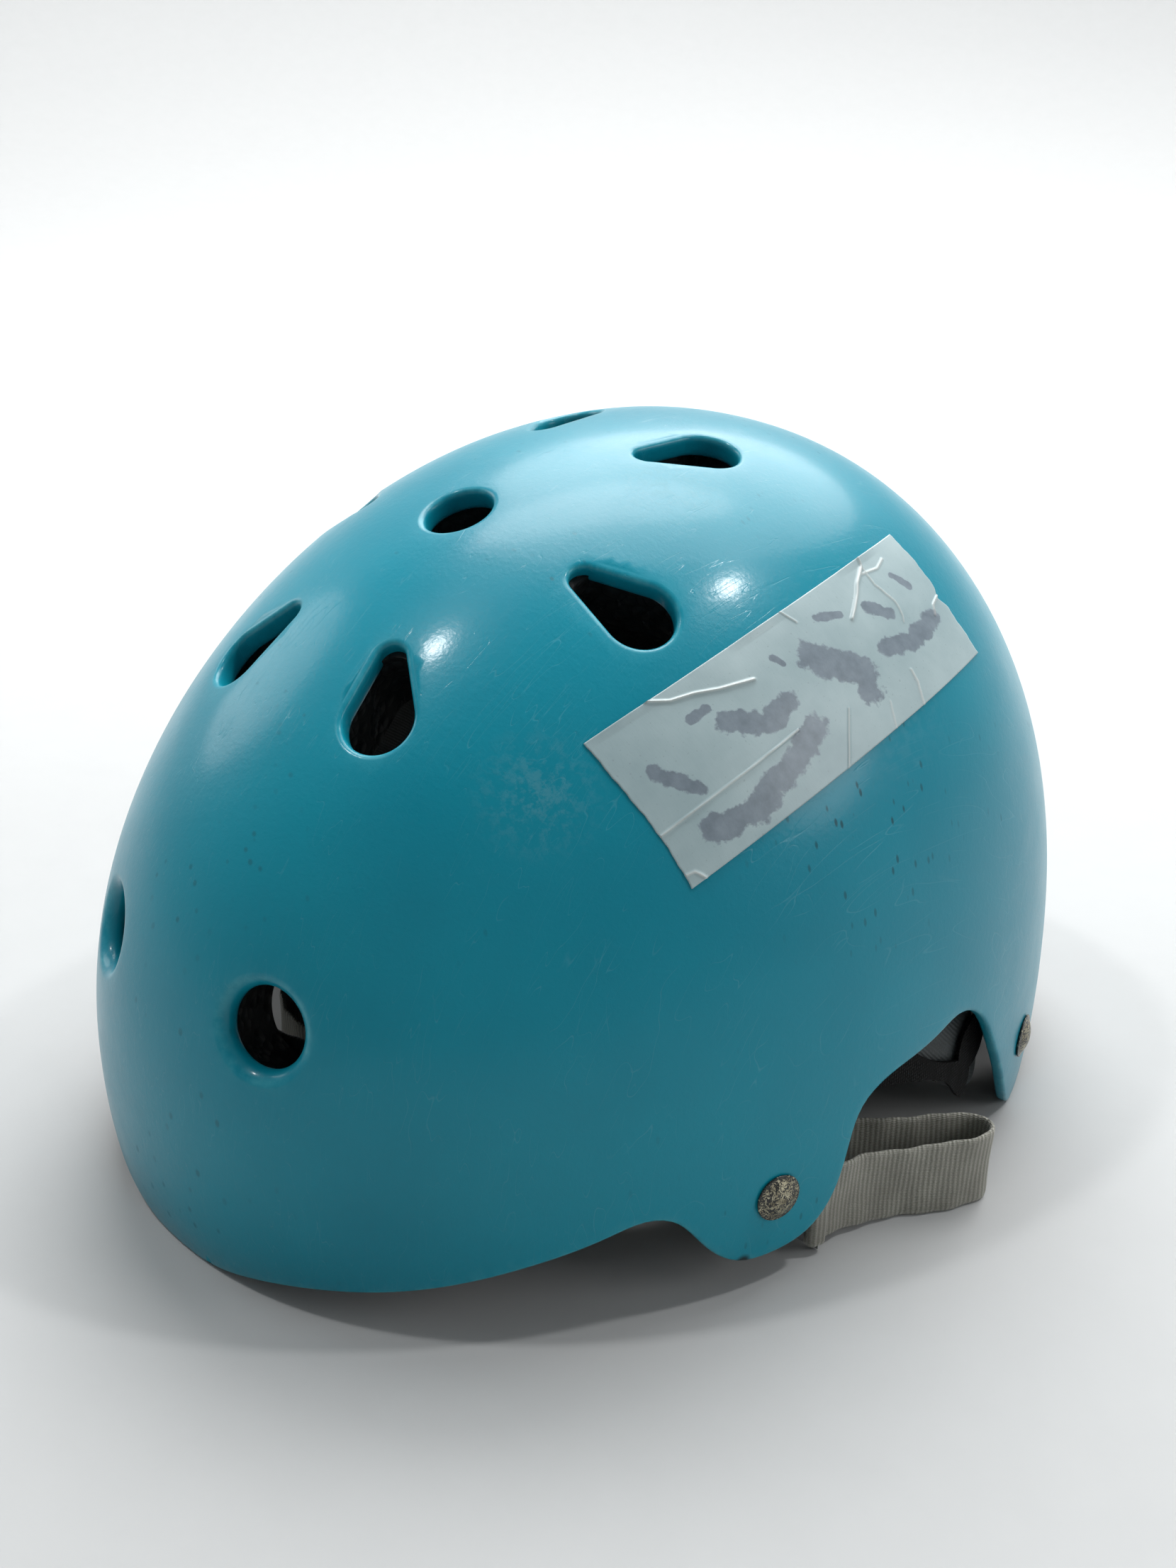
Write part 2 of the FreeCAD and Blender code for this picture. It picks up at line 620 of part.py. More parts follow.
def rivets():
    made = {}
    washers = []
    for place in RIVETS:
        for name, side in SIDES.items():
            point, normal, level = rivet_frame(place, side)
            depth = ANCHORS[place][0]
            made[f"{place}_{name}_rivet"] = placed(rivet_solid(depth), point, normal, level)
            washers.append(placed(washer_solid(depth), point, normal, level))
            made[f"{place}_{name}_anchor"] = anchor_at(place, side)
    made["rivet_washers"] = group(washers)
    return made


def divider_place(strap):
    """Middle of the long straight run, and its heading."""
    a, b = max(zip(ROUTES[strap], ROUTES[strap][1:]), key=lambda run: far(*run))
    heading = unit(a, b)
    return ((a[0] + b[0]) / 2, (a[1] + b[1]) / 2), heading


def harness():
    made = {name: webbing(name, route) for name, route in ROUTES.items()}
    for name, side in SIDES.items():
        middle, heading = divider_place(f"{name}_front_strap")
        shift = side * DIVIDER_PITCH / 2
        at = (middle[0] + heading[1] * shift, middle[1] - heading[0] * shift)
        made[f"{name}_divider"] = standing(divider_solid(), at, heading)
        print(name, "divider slides along", heading)
    end, heading = strap_end("left_front_strap")
    made["buckle_socket"] = standing(socket_solid(), end, heading)
    end, heading = strap_end("right_front_strap")
    made["buckle_clip"] = standing(clip_solid(), end, heading)
    made["upper_prong"] = standing(prong_solid(1), end, heading)
    made["lower_prong"] = standing(prong_solid(-1), end, heading)
    at = (end[0] - heading[0] * 10 - heading[1] * 1.8, end[1] - heading[1] * 10 + heading[0] * 1.8)
    made["strap_keeper"] = standing(keeper_solid(), at, heading)
    return made


def strap_end(strap):
    a, b = ROUTES[strap][-2:]
    return b, unit(a, b)


def main():
    pieces = {"outer_shell": outer_shell()}
    pieces.update(foam_blocks())
    pieces.update(pads())
    pieces.update(hook_pieces())
    pieces.update(rivets())
    pieces.update(harness())
    tape = band(-TAPE_THICK - 0.05, -0.05).common(tape_tool())
    pieces["tape_label"] = as_solid(tape)
    for name, shape in pieces.items():
        assert shape.isValid(), name
        shape.exportStep(f"parts/{name}.step")
    print(len(pieces), "pieces")


main()
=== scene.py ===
"""Looks of the skate-style cycling helmet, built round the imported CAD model."""
import math

import bmesh
import bpy
import numpy as np
from mathutils import Matrix, Vector, noise
from mathutils.geometry import delaunay_2d_cdt


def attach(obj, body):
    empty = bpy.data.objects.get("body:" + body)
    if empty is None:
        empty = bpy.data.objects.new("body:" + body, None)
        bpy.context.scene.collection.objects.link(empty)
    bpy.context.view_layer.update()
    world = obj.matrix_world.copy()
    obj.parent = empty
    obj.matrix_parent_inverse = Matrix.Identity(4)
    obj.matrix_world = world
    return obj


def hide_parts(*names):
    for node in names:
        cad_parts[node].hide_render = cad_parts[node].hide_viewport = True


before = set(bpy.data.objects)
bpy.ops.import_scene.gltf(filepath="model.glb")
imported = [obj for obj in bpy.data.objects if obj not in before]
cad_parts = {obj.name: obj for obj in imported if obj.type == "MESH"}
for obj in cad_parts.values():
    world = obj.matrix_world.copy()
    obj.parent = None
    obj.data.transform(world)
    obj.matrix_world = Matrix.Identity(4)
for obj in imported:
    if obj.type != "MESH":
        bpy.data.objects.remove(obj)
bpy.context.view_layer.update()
MM = 0.001

# ---- camera, light and floor ----
CAMERA_AT = Vector((0.3092, -0.3059, 0.2685))
CAMERA_AIM = Vector((0.0200, -0.0240, 0.0937))
CAMERA_ROLL = math.radians(1.78)
LENS_MM = 40.97


def make_camera():
    data = bpy.data.cameras.new("camera")
    data.lens = LENS_MM
    data.sensor_width = 36
    data.clip_start = 0.01
    camera = bpy.data.objects.new("camera", data)
    turn = (CAMERA_AIM - CAMERA_AT).to_track_quat("-Z", "Y").to_matrix().to_4x4()
    camera.matrix_world = (Matrix.Translation(CAMERA_AT) @ turn
                           @ Matrix.Rotation(CAMERA_ROLL, 4, "Z"))
    bpy.context.collection.objects.link(camera)
    bpy.context.scene.camera = camera


# Name, place, aim, disc width in metres and power in watts.
LIGHTS = [
    ("top_soft", (-0.55, 0.95, 1.55), (0, 0.02, 0.1), 2.1, 50),
    ("right_soft", (1.7, 1.0, 0.9), (0, 0, 0.1), 0.9, 9),
    ("left_soft", (-1.6, -0.5, 0.9), (0, 0, 0.1), 0.9, 7),
    ("spark_front", (-0.436, -0.560, 1.596), (0, -0.05, 0.1), 0.12, 6.5),
    ("spark_side", (0.545, 0.644, 1.525), (0.05, 0, 0.1), 0.12, 6.5),
    ("wall_soft", (-1.10, 1.08, 2.6), (-2.0, 1.96, 0.9), 2.2, 80),
]
SKY_COLOUR, SKY_STRENGTH = (0.80, 0.90, 0.96, 1), 0.30
FLOOR_HOLE, FLOOR_RADIUS, FLOOR_CURVE, WALL_TOP = 0.8, 1.6, 1.2, 3.4


def area_light(name, at, aim, size, watts):
    data = bpy.data.lights.new(name, "AREA")
    data.shape = "DISK"
    data.size = size
    data.energy = watts
    light = bpy.data.objects.new(name, data)
    at, aim = Vector(at), Vector(aim)
    light.matrix_world = (Matrix.Translation(at)
                          @ (aim - at).to_track_quat("-Z", "Y").to_matrix().to_4x4())
    bpy.context.collection.objects.link(light)


def make_stage():
    """Pale floor that curves up into a round wall, soft lights, and two small sparks."""
    profile = [(FLOOR_HOLE, 0.0), (FLOOR_RADIUS, 0.0)]
    for k in range(1, 13):
        turn = math.radians(90 * k / 12)
        profile.append((FLOOR_RADIUS + FLOOR_CURVE * math.sin(turn),
                        FLOOR_CURVE - FLOOR_CURVE * math.cos(turn)))
    profile.append((FLOOR_RADIUS + FLOOR_CURVE, WALL_TOP))
    count = 96
    turns = [2 * math.pi * k / count for k in range(count)]
    verts = [(out * math.sin(turn), out * math.cos(turn), up)
             for out, up in profile for turn in turns]
    rings = [list(range(i * count, (i + 1) * count)) for i in range(len(profile))]
    mesh = bpy.data.meshes.new("floor")
    mesh.from_pydata(verts, [], [rings[0][::-1]] + strips(rings))
    floor = smooth_object("floor", mesh)
    mat, kit = new_material("floor_paper")
    grain = kit.noise(60, 4, 0.6)
    kit.set(Base_Color=kit.mix(grain, rgb(0.425, 0.43, 0.43), rgb(0.445, 0.45, 0.45)),
            Roughness=0.95, Specular_IOR_Level=0.1)
    mesh.materials.append(mat)
    world = bpy.data.worlds.new("studio")
    world.use_nodes = True
    sky = world.node_tree.nodes["Background"].inputs
    sky["Color"].default_value, sky["Strength"].default_value = SKY_COLOUR, SKY_STRENGTH
    bpy.context.scene.world = world
    for light in LIGHTS:
        area_light(*light)
    bpy.context.scene.view_settings.view_transform = "Standard"


# ---- node helper ----
class Kit:
    """Short way to add and join shader nodes."""

    def __init__(self, mat):
        self.tree = mat.node_tree
        self.shader = self.tree.nodes["Principled BSDF"]
        self.output = self.tree.nodes["Material Output"]

    def add(self, kind, props=None, **values):
        node = self.tree.nodes.new("ShaderNode" + kind)
        for key, value in (props or {}).items():
            setattr(node, key, value)
        for key, value in values.items():
            self.feed(node, key.replace("_", " "), value)
        return node

    def feed(self, node, key, value):
        socket = node.inputs[int(key[1:])] if key[0] == "#" else node.inputs[key]
        if isinstance(value, bpy.types.NodeSocket):
            self.tree.links.new(value, socket)
        else:
            socket.default_value = value

    def coords(self, which="Object"):
        return self.add("TexCoord").outputs[which]

    def stretched(self, scale, turn=(0, 0, 0), source=None):
        node = self.add("Mapping", Vector=source or self.coords())
        node.inputs["Scale"].default_value = scale
        node.inputs["Rotation"].default_value = turn
        return node.outputs[0]

    def noise(self, scale, detail=4.0, rough=0.5, vector=None, distortion=0.0):
        node = self.add("TexNoise", Vector=vector or self.coords(), Scale=scale,
                        Detail=detail, Roughness=rough, Distortion=distortion)
        return node.outputs["Fac"]

    def cells(self, scale, vector=None, feature="F1", random=1.0):
        node = self.add("TexVoronoi", {"feature": feature}, Vector=vector or self.coords(),
                        Scale=scale, Randomness=random)
        return node.outputs["Distance"]

    def ramp(self, source, low, high, start=0.0, end=1.0):
        """source moved from low..high to start..end, clamped."""
        node = self.add("MapRange", Value=source)
        for key, value in (("From Min", low), ("From Max", high), ("To Min", start),
                           ("To Max", end)):
            node.inputs[key].default_value = value
        return node.outputs[0]

    def math(self, operation, a, b=0.0):
        node = self.add("Math", {"operation": operation})
        self.feed(node, "#0", a)
        self.feed(node, "#1", b)
        return node.outputs[0]

    def times(self, a, b):
        return self.math("MULTIPLY", a, b)

    def read(self, name, which="Fac"):
        """A mesh attribute."""
        return self.add("Attribute", {"attribute_name": name}).outputs[which]

    def mix(self, factor, a, b):
        node = self.add("MixRGB")
        self.feed(node, "Fac", factor)
        self.feed(node, "Color1", a)
        self.feed(node, "Color2", b)
        return node.outputs[0]

    def lay(self, base, where, share, colour):
        """A share of a colour over the base, where the mask is 1."""
        return self.mix(self.times(where, share), base, colour)

    def near(self, place, radius, soft=0.4):
        """1 at a place on the object, falling to 0 at the radius."""
        gap = self.add("VectorMath", {"operation": "DISTANCE"})
        self.feed(gap, "#0", self.coords())
        self.feed(gap, "#1", place)
        return self.ramp(gap.outputs["Value"], radius * (1 - soft), radius, 1.0, 0.0)

    def bump(self, height, strength, distance=0.001, under=None):
        node = self.add("Bump", Height=height, Strength=strength, Distance=distance)
        if under is not None:
            self.feed(node, "Normal", under)
        return node.outputs[0]

    def set(self, **values):
        for key, value in values.items():
            self.feed(self.shader, key.replace("_", " "), value)


def new_material(name):
    mat = bpy.data.materials.new(name)
    mat.use_nodes = True
    return mat, Kit(mat)


def rgb(red, green, blue):
    return (red, green, blue, 1.0)


# ---- the dome: the same surface as the CAD shell's outside ----
HALF_LENGTH, HALF_WIDTH, DOME_HEIGHT = 0.1380, 0.1068, 0.1431
DOME_TILT, DOME_LIFT, DOME_SHIFT = math.radians(2.55), 0.0326, 0.0071
PLAN_POWER, SIDE_POWER = 2.109, 2.196


def dome(flat):
    """Points on the outside. flat holds (side, back) angles from the crown, in radians."""
    phi = np.maximum(np.hypot(flat[:, 0], flat[:, 1]), 1e-9)
    u = np.sin(phi) * flat[:, 0] / phi
    v = np.sin(phi) * flat[:, 1] / phi
    w = np.cos(phi)
    plan = (np.abs(u) ** PLAN_POWER + np.abs(v) ** PLAN_POWER) ** (1 / PLAN_POWER)
    round_off = (plan ** SIDE_POWER + np.abs(w) ** SIDE_POWER) ** (-1 / SIDE_POWER)
    u, v, w = u * round_off, v * round_off, w * round_off
    x = HALF_WIDTH * u * (1 - 0.023 * v - 0.037 * w + 0.030 * w * w + 0.068 * v * w)
    y = HALF_LENGTH * v * (1 - 0.009 * w - 0.053 * v - 0.074 * w * w - 0.040 * v * w)
    y = y + HALF_LENGTH * 0.055 * w * w
    z = DOME_HEIGHT * w
    c, s = math.cos(DOME_TILT), math.sin(DOME_TILT)
    return np.stack([x, y * c - z * s + DOME_SHIFT, y * s + z * c + DOME_LIFT], axis=1)


def unit_rows(rows):
    return rows / np.linalg.norm(rows, axis=1, keepdims=True)


def dome_normals(flat, step=1e-4):
    side = dome(flat + [step, 0]) - dome(flat - [step, 0])
    back = dome(flat + [0, step]) - dome(flat - [0, step])
    return unit_rows(np.cross(side, back))


def onto_dome(points, axis, start):
    """Flat angles of the dome's points that lie straight along an axis from the given points."""
    axis = np.array(axis) / np.linalg.norm(axis)
    first = np.cross(axis, [0.3, 0.8, 0.1])
    first /= np.linalg.norm(first)
    second = np.cross(axis, first)
    flat = np.tile(np.array(start, float), (len(points), 1))
    step = 1e-5
    for _ in range(25):
        here = dome(flat)
        miss = np.stack([(here - points) @ first, (here - points) @ second], axis=1)
        side = (dome(flat + [step, 0]) - here) / step
        back = (dome(flat + [0, step]) - here) / step
        a, b = side @ first, back @ first
        c, d = side @ second, back @ second
        det = a * d - b * c
        flat = flat - np.stack([(miss[:, 0] * d - b * miss[:, 1]) / det,
                                (a * miss[:, 1] - miss[:, 0] * c) / det], axis=1)
    return flat


def flat_angles(theta, phi):
    """theta turns from the front to the left, phi from the crown, both in degrees."""
    theta, phi = math.radians(theta), math.radians(phi)
    return np.array([phi * math.sin(theta), -phi * math.cos(theta)])


def smooth_line(points, per_span=24):
    """Points along a natural cubic through the given ones."""
    points = np.array(points, float)
    at = np.concatenate([[0], np.cumsum(np.linalg.norm(np.diff(points, axis=0), axis=1))])
    gap = np.diff(at)
    count = len(points)
    system, right = np.eye(count), np.zeros_like(points)
    for i in range(1, count - 1):
        system[i, i - 1:i + 2] = gap[i - 1], 2 * (gap[i - 1] + gap[i]), gap[i]
        right[i] = 6 * ((points[i + 1] - points[i]) / gap[i]
                        - (points[i] - points[i - 1]) / gap[i - 1])
    bend = np.linalg.solve(system, right)
    found = []
    for i in range(count - 1):
        t = np.linspace(0, gap[i], per_span, endpoint=False)[:, None]
        rest = gap[i] - t
        found.append((bend[i] * rest ** 3 + bend[i + 1] * t ** 3) / (6 * gap[i])
                     + (points[i] / gap[i] - bend[i] * gap[i] / 6) * rest
                     + (points[i + 1] / gap[i] - bend[i + 1] * gap[i] / 6) * t)
    return np.vstack(found + [points[-1:]])


# ---- mesh helpers ----
def smooth_faces(mesh):
    for polygon in mesh.polygons:
        polygon.use_smooth = True


def smooth_object(name, mesh):
    smooth_faces(mesh)
    obj = bpy.data.objects.new(name, mesh)
    bpy.context.collection.objects.link(obj)
    return obj


def make_object(name, verts, faces):
    """Smooth object of the root body."""
    mesh = bpy.data.meshes.new(name)
    mesh.from_pydata([tuple(v) for v in verts], [], [tuple(f) for f in faces])
    mesh.validate()
    obj = smooth_object(name, mesh)
    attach(obj, "root")
    return obj


def set_attribute(obj, name, values, kind="FLOAT"):
    data = obj.data.attributes.new(name, kind, "POINT").data
    field = "value" if kind == "FLOAT" else "vector"
    data.foreach_set(field, np.asarray(values, np.float32).ravel())


def inside(points, loop):
    """Which points lie inside a closed loop, by crossings."""
    x, y = points[:, 0], points[:, 1]
    odd = np.zeros(len(points), bool)
    for (x0, y0), (x1, y1) in zip(loop, np.roll(loop, -1, axis=0)):
        if y0 != y1:
            cross = (y0 > y) != (y1 > y)
            odd ^= cross & (x < (x1 - x0) * (y - y0) / (y1 - y0) + x0)
    return odd


def spread(rim, holes, pitch):
    """Flat triangulation between a rim and holes: (points, triangles). Loops come first."""
    loops = [rim] + holes
    low, high = rim.min(0), rim.max(0)
    columns = np.arange(low[0], high[0], pitch)
    rows = np.arange(low[1], high[1], pitch * 0.866)
    grid = np.array([(c + (i % 2) * pitch / 2, r) for i, r in enumerate(rows) for c in columns])
    border = np.vstack(loops)
    keep = inside(grid, rim)
    for hole in holes:
        keep &= ~inside(grid, hole)
    grid = grid[keep]
    clear = np.ones(len(grid), bool)
    for start in range(0, len(grid), 2000):
        part = grid[start:start + 2000]
        gaps = np.linalg.norm(part[:, None] - border[None], axis=2).min(1)
        clear[start:start + 2000] = gaps > pitch * 0.8
    grid = grid[clear]
    edges, at = [], 0
    for loop in loops:
        count = len(loop)
        edges += [(at + i, at + (i + 1) % count) for i in range(count)]
        at += count
    points = np.vstack([border, grid])
    found = delaunay_2d_cdt([Vector(p) for p in points], edges, [], 0, 1e-9)
    flat, faces, source = found[0], found[2], found[3]
    order = np.array([s[0] if s else -1 for s in source])
    assert len(flat) == len(points) and (order >= 0).all(), "the flat outline crosses itself"
    triangles = order[np.array(faces)]
    middles = points[triangles].mean(1)
    keep = inside(middles, rim)
    for hole in holes:
        keep &= ~inside(middles, hole)
    triangles = triangles[keep]
    a, b, c = (points[triangles[:, k]] for k in range(3))
    turn = (b - a)[:, 0] * (c - a)[:, 1] - (b - a)[:, 1] * (c - a)[:, 0]
    triangles[turn < 0] = triangles[turn < 0][:, ::-1]
    return points, triangles


def strips(loops):
    """Quads that join neighbouring loops of equal count: each loop is a list of indices."""
    quads = []
    for a, b in zip(loops, loops[1:]):
        count = len(a)
        quads += [(a[i], a[(i + 1) % count], b[(i + 1) % count], b[i]) for i in range(count)]
    return quads


# ---- shell ----
SHELL_THICK, OUTER_PITCH, INNER_PITCH = 0.003, 0.0185, 0.045
VENT_WIDE, VENT_NARROW, VENT_SPAN = 0.0081, 0.0035, 0.0146
HUB_VENT, ROUND_VENT = 0.0082, 0.0092
HUB = np.array([0.0, -0.0491])
TEARDROPS = [(0.0236, -0.0900), (0.0482, -0.0430), (0.0222, 0.0033)]
ROUNDS = [(17.4, 72.8), (162.6, 76.0)]
# The rim seen from the side, (y, z): brow, temple, ear tab, arch, rear tab and nape.
RIM = [(-160, -2.0), (-140, -1.5), (-135, -1.3), (-133.2, 0.4), (-131.6, 2.8), (-128, 5.9),
       (-120.5, 9.2), (-109, 13.3), (-95, 18.6), (-80, 24.2), (-71, 26.6), (-66, 25.0),
       (-61, 19.8), (-55.5, 13.2), (-49, 9.0), (-40, 8.3), (-30, 11.0), (-24.4, 16.6),
       (-19.5, 30), (-15.5, 39.2), (-8, 43.4), (1, 45.2), (12, 47.4), (20, 49.2), (27, 47.4),
       (33.5, 42.2), (41, 31.6), (50, 18.2), (59, 5.6), (67, -0.6), (75, 0.2), (84, 6.5),
       (97, 12.5), (112, 15.2), (130, 16.0), (160, 16.0)]
# Lip sections from the skin inwards: (out from the opening, below the skin), millimetres.
COLLAR = [(0, 4.2), (0.15, 4.9), (0.5, 5.3), (1.0, 5.4), (1.5, 5.3), (1.85, 4.9), (2.0, 4.4),
          (2.0, 3.8), (2.05, 3.3), (2.6, 3.0)]
LIP = [(1.7, 0), (1.2, 0.05), (0.75, 0.22), (0.4, 0.5), (0.15, 0.95), (0.03, 1.5), (0, 2.3),
       (0, 3.2)] + COLLAR
FUNNEL = [(3.5, 0), (3.0, 0.06), (2.4, 0.25), (1.8, 0.6), (1.1, 1.2), (0.5, 2.0), (0.15, 2.8),
          (0, 3.5)] + COLLAR
EDGE_SECTION = [(0.9, 0), (0.5, 0.07), (0.2, 0.28), (0, 0.75), (0, 1.5), (0, 2.25),
                (0.2, 2.72), (0.5, 2.93), (0.9, 3.0)]


def rim_loop(spacing=0.0022):
    """Flat angles where the dome meets the rim line or the ground, evenly spaced."""
    line = smooth_line(RIM) * MM
    theta = np.linspace(0, 2 * math.pi, 1440, endpoint=False)
    phi = np.radians(np.linspace(55, 121, 400))
    sine, cosine = np.sin(theta), -np.cos(theta)
    found = np.zeros((len(theta), 2))
    for i in range(len(theta)):
        ray = np.stack([phi * sine[i], phi * cosine[i]], axis=1)
        place = dome(ray)
        over = place[:, 2] - np.maximum(np.interp(place[:, 1], line[:, 0], line[:, 1]), 0)
        k = int(np.argmax(over < 0))
        share = over[k - 1] / (over[k - 1] - over[k])
        found[i] = ray[k - 1] + (ray[k] - ray[k - 1]) * share
    closed = np.vstack([found, found[:1]])
    step = np.linalg.norm(np.diff(dome(closed), axis=0), axis=1)
    at = np.concatenate([[0], np.cumsum(step)])
    even = np.linspace(0, at[-1], int(at[-1] / spacing), endpoint=False)
    return np.stack([np.interp(even, at, closed[:, k]) for k in (0, 1)], axis=1)


def teardrop_outline(grow, count=72):
    """(along, across) points: the wide end is behind, and the narrow end points to the hub."""
    wide, narrow = VENT_WIDE + grow, VENT_NARROW + grow
    middle = (VENT_SPAN + VENT_WIDE - VENT_NARROW) / 2
    back, front = middle - VENT_SPAN, middle
    opening = math.acos((VENT_WIDE - VENT_NARROW) / VENT_SPAN)
    around = np.linspace(-math.pi, math.pi, count, endpoint=False)
    # Directions near the hub belong to the narrow end, the others to the wide end.
    ends = np.where(np.abs(around) < opening, front, back)
    radii = np.where(np.abs(around) < opening, narrow, wide)
    return np.stack([ends + radii * np.cos(around), radii * np.sin(around)], axis=1)


def round_outline(radius, count=64):
    around = np.linspace(-math.pi, math.pi, count, endpoint=False)
    return np.stack([radius * np.cos(around), radius * np.sin(around)], axis=1)


def vent_list():
    """Each vent as (flat angles of its middle, direction along, outline function, section)."""
    vents = []
    for x, y in TEARDROPS:
        for side in (1, -1):
            at = np.array([[side * x, y, 0.0]])
            middle = onto_dome(at, (0, 0, 1), (side * x / 0.14, (y + 0.01) / 0.14))[0]
            inward = np.array([HUB[0] - side * x, HUB[1] - y, 0])
            vents.append((middle, inward, teardrop_outline, LIP))
    hub = onto_dome(np.array([[HUB[0], HUB[1], 0.0]]), (0, 0, 1), (0.0, -0.3))[0]
    vents.append((hub, np.array([0, 1.0, 0]), lambda g: round_outline(HUB_VENT + g), LIP))
    for theta, phi in ROUNDS:
        for side in (1, -1):
            middle = flat_angles(side * theta, phi)
            vents.append((middle, np.array([1.0, 0, 0]),
                          lambda g: round_outline(ROUND_VENT + g), FUNNEL))
    return vents


def vent_loops(vent):
    """Rings of a vent's lip: (flat angles of its outer and inner rings, all rings in space)."""
    middle, along, outline, section = vent
    centre = dome(middle[None])[0]
    normal = dome_normals(middle[None])[0]
    along = along - normal * (along @ normal)
    along /= np.linalg.norm(along)
    across = np.cross(normal, along)
    rings, flats = [], []
    for grow, depth in section:
        shape = outline(grow * MM)
        spots = centre + shape[:, :1] * along + shape[:, 1:] * across
        flat = onto_dome(spots, normal, middle)
        flats.append(flat)
        rings.append(dome(flat) - normal * depth * MM)
    return flats[0], flats[-1], rings


def build_shell():
    rim = rim_loop()
    vents = [vent_loops(v) for v in vent_list()]
    edge = dome(rim)
    normals = dome_normals(rim)
    along = np.roll(edge, -1, axis=0) - np.roll(edge, 1, axis=0)
    outward = unit_rows(np.cross(unit_rows(along), normals))
    outward *= np.sign((outward * [0, 0, -1]).sum())
    edge_rings = [edge - outward * i * MM - normals * d * MM for i, d in EDGE_SECTION]

    verts, faces, sharp = [], [], []

    def add_rings(rings, wear):
        indices = []
        for ring, worn in zip(rings, wear):
            indices.append(list(range(len(verts), len(verts) + len(ring))))
            verts.extend(ring)
            sharp.extend([worn] * len(ring))
        return indices

    edge_wear = [0.3, 1, 1, 0.6, 0.4, 0.6, 1, 1, 0.3]
    rim_rings = add_rings(edge_rings, edge_wear)
    faces += [q[::-1] for q in strips(rim_rings)]
    vent_rings = []
    for _, _, rings in vents:
        wear = [0.2, 0.6, 1, 1, 0.6, 0.2] + [0.0] * (len(rings) - 6)
        vent_rings.append(add_rings(rings, wear))
        faces += strips(vent_rings[-1])
    for level, pitch, depth in ((0, OUTER_PITCH, 0.0), (-1, INNER_PITCH, SHELL_THICK)):
        holes = [v[0] if level == 0 else v[1] for v in vents]
        flat, triangles = spread(rim, holes, pitch)
        known = list(rim_rings[level])
        for rings in vent_rings:
            known += rings[level]
        place = dome(flat)
        normal = dome_normals(flat)
        index = list(known)
        for k in range(len(known), len(flat)):
            index.append(len(verts))
            verts.append(place[k] - normal[k] * depth)
            sharp.append(0.0)
        for a, b, c in triangles:
            face = (index[a], index[b], index[c])
            faces.append(face if level == 0 else face[::-1])
    shell = make_object("shell_skin", verts, faces)
    repair = bmesh.new()
    repair.from_mesh(shell.data)
    bmesh.ops.recalc_face_normals(repair, faces=repair.faces)
    repair.to_mesh(shell.data)
    repair.free()
    set_attribute(shell, "worn", sharp)
    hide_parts("outer_shell")
    return shell


# ---- straps ----
WEB_WIDTH, WEB_THICK, WEB_CUP, WEB_SPACING = 0.020, 0.0016, 0.0005, 0.0008
# Bottom edge of the standing webbing over y: it is lifted where it passes other pieces.
WEB_STEPS = [(-0.2, 0.0024), (-0.018, 0.0024), (0.0, 0.0002), (0.055, 0.0002),
             (0.077, 0.0024), (0.2, 0.0024)]
# Routes in plan, in metres, from the anchor, or for the tail from the clip.
ROUTES = {
    "left_front_strap": [
        (0.1009, -0.0227), (0.1012, -0.0115), (0.1054, 0.0006), (0.1112, 0.0104),
        (0.1152, 0.0188), (0.1158, 0.0254), (0.1108, 0.0282), (0.1060, 0.0228),
        (0.0986, 0.0116), (0.0860, -0.0082), (0.0585, -0.0566), (0.0480, -0.0670),
        (0.0370, -0.0620), (0.0310, -0.0450), (0.0280, -0.0250), (0.0270, -0.0040)],
    "right_front_strap": [
        (-0.1009, -0.0227), (-0.1010, -0.0115), (-0.0975, 0.0005), (-0.0890, 0.0020),
        (-0.0825, -0.0144), (-0.0585, -0.0566), (-0.0500, -0.0700), (-0.0380, -0.0760),
        (-0.0120, -0.0760)],
    "right_strap_tail": [(-0.0128, -0.0724), (-0.0368, -0.0724), (-0.0472, -0.0672),
                         (-0.0530, -0.0582)],
    "left_rear_strap": [
        (0.0857, 0.0784), (0.0815, 0.0860), (0.0710, 0.0890), (0.0585, 0.0790),
        (0.0510, 0.0610), (0.0505, 0.0410), (0.0570, 0.0245), (0.0695, 0.0080),
        (0.0797, -0.0104), (0.0576, -0.0492)],
    "right_rear_strap": [
        (-0.0857, 0.0784), (-0.0810, 0.0865), (-0.0745, 0.0860), (-0.0715, 0.0750),
        (-0.0705, 0.0560), (-0.0715, 0.0360), (-0.0766, 0.0030), (-0.0762, -0.0166),
        (-0.0576, -0.0492)],
}
# The tail is the right front strap's own end, folded back at the clip.
FAR_ENDS = {
    "left_front_strap": ("fitting", ["buckle_socket"]),
    "right_front_strap": ("fitting", ["buckle_clip", "right_webbing_tail"]),
    "left_rear_strap": ("object", []),
    "right_rear_strap": ("object", []),
}


def spline_points(name, route):
    """Points read from the route's NURBS spline, at the middle of the webbing's width."""
    data = bpy.data.curves.new(name + "_line", "CURVE")
    data.dimensions = "3D"
    data.resolution_u = 48
    spline = data.splines.new("NURBS")
    spline.points.add(len(route) - 1)
    for point, (x, y) in zip(spline.points, route):
        bottom = np.interp(y, *zip(*WEB_STEPS))
        point.co = (x, y, bottom + WEB_WIDTH / 2, 1)
    spline.order_u = 3
    spline.use_endpoint_u = True
    line = bpy.data.objects.new(name + "_line", data)
    bpy.context.collection.objects.link(line)
    mesh = bpy.data.meshes.new_from_object(line)
    points = np.array([v.co for v in mesh.vertices])
    bpy.data.objects.remove(line)
    return points


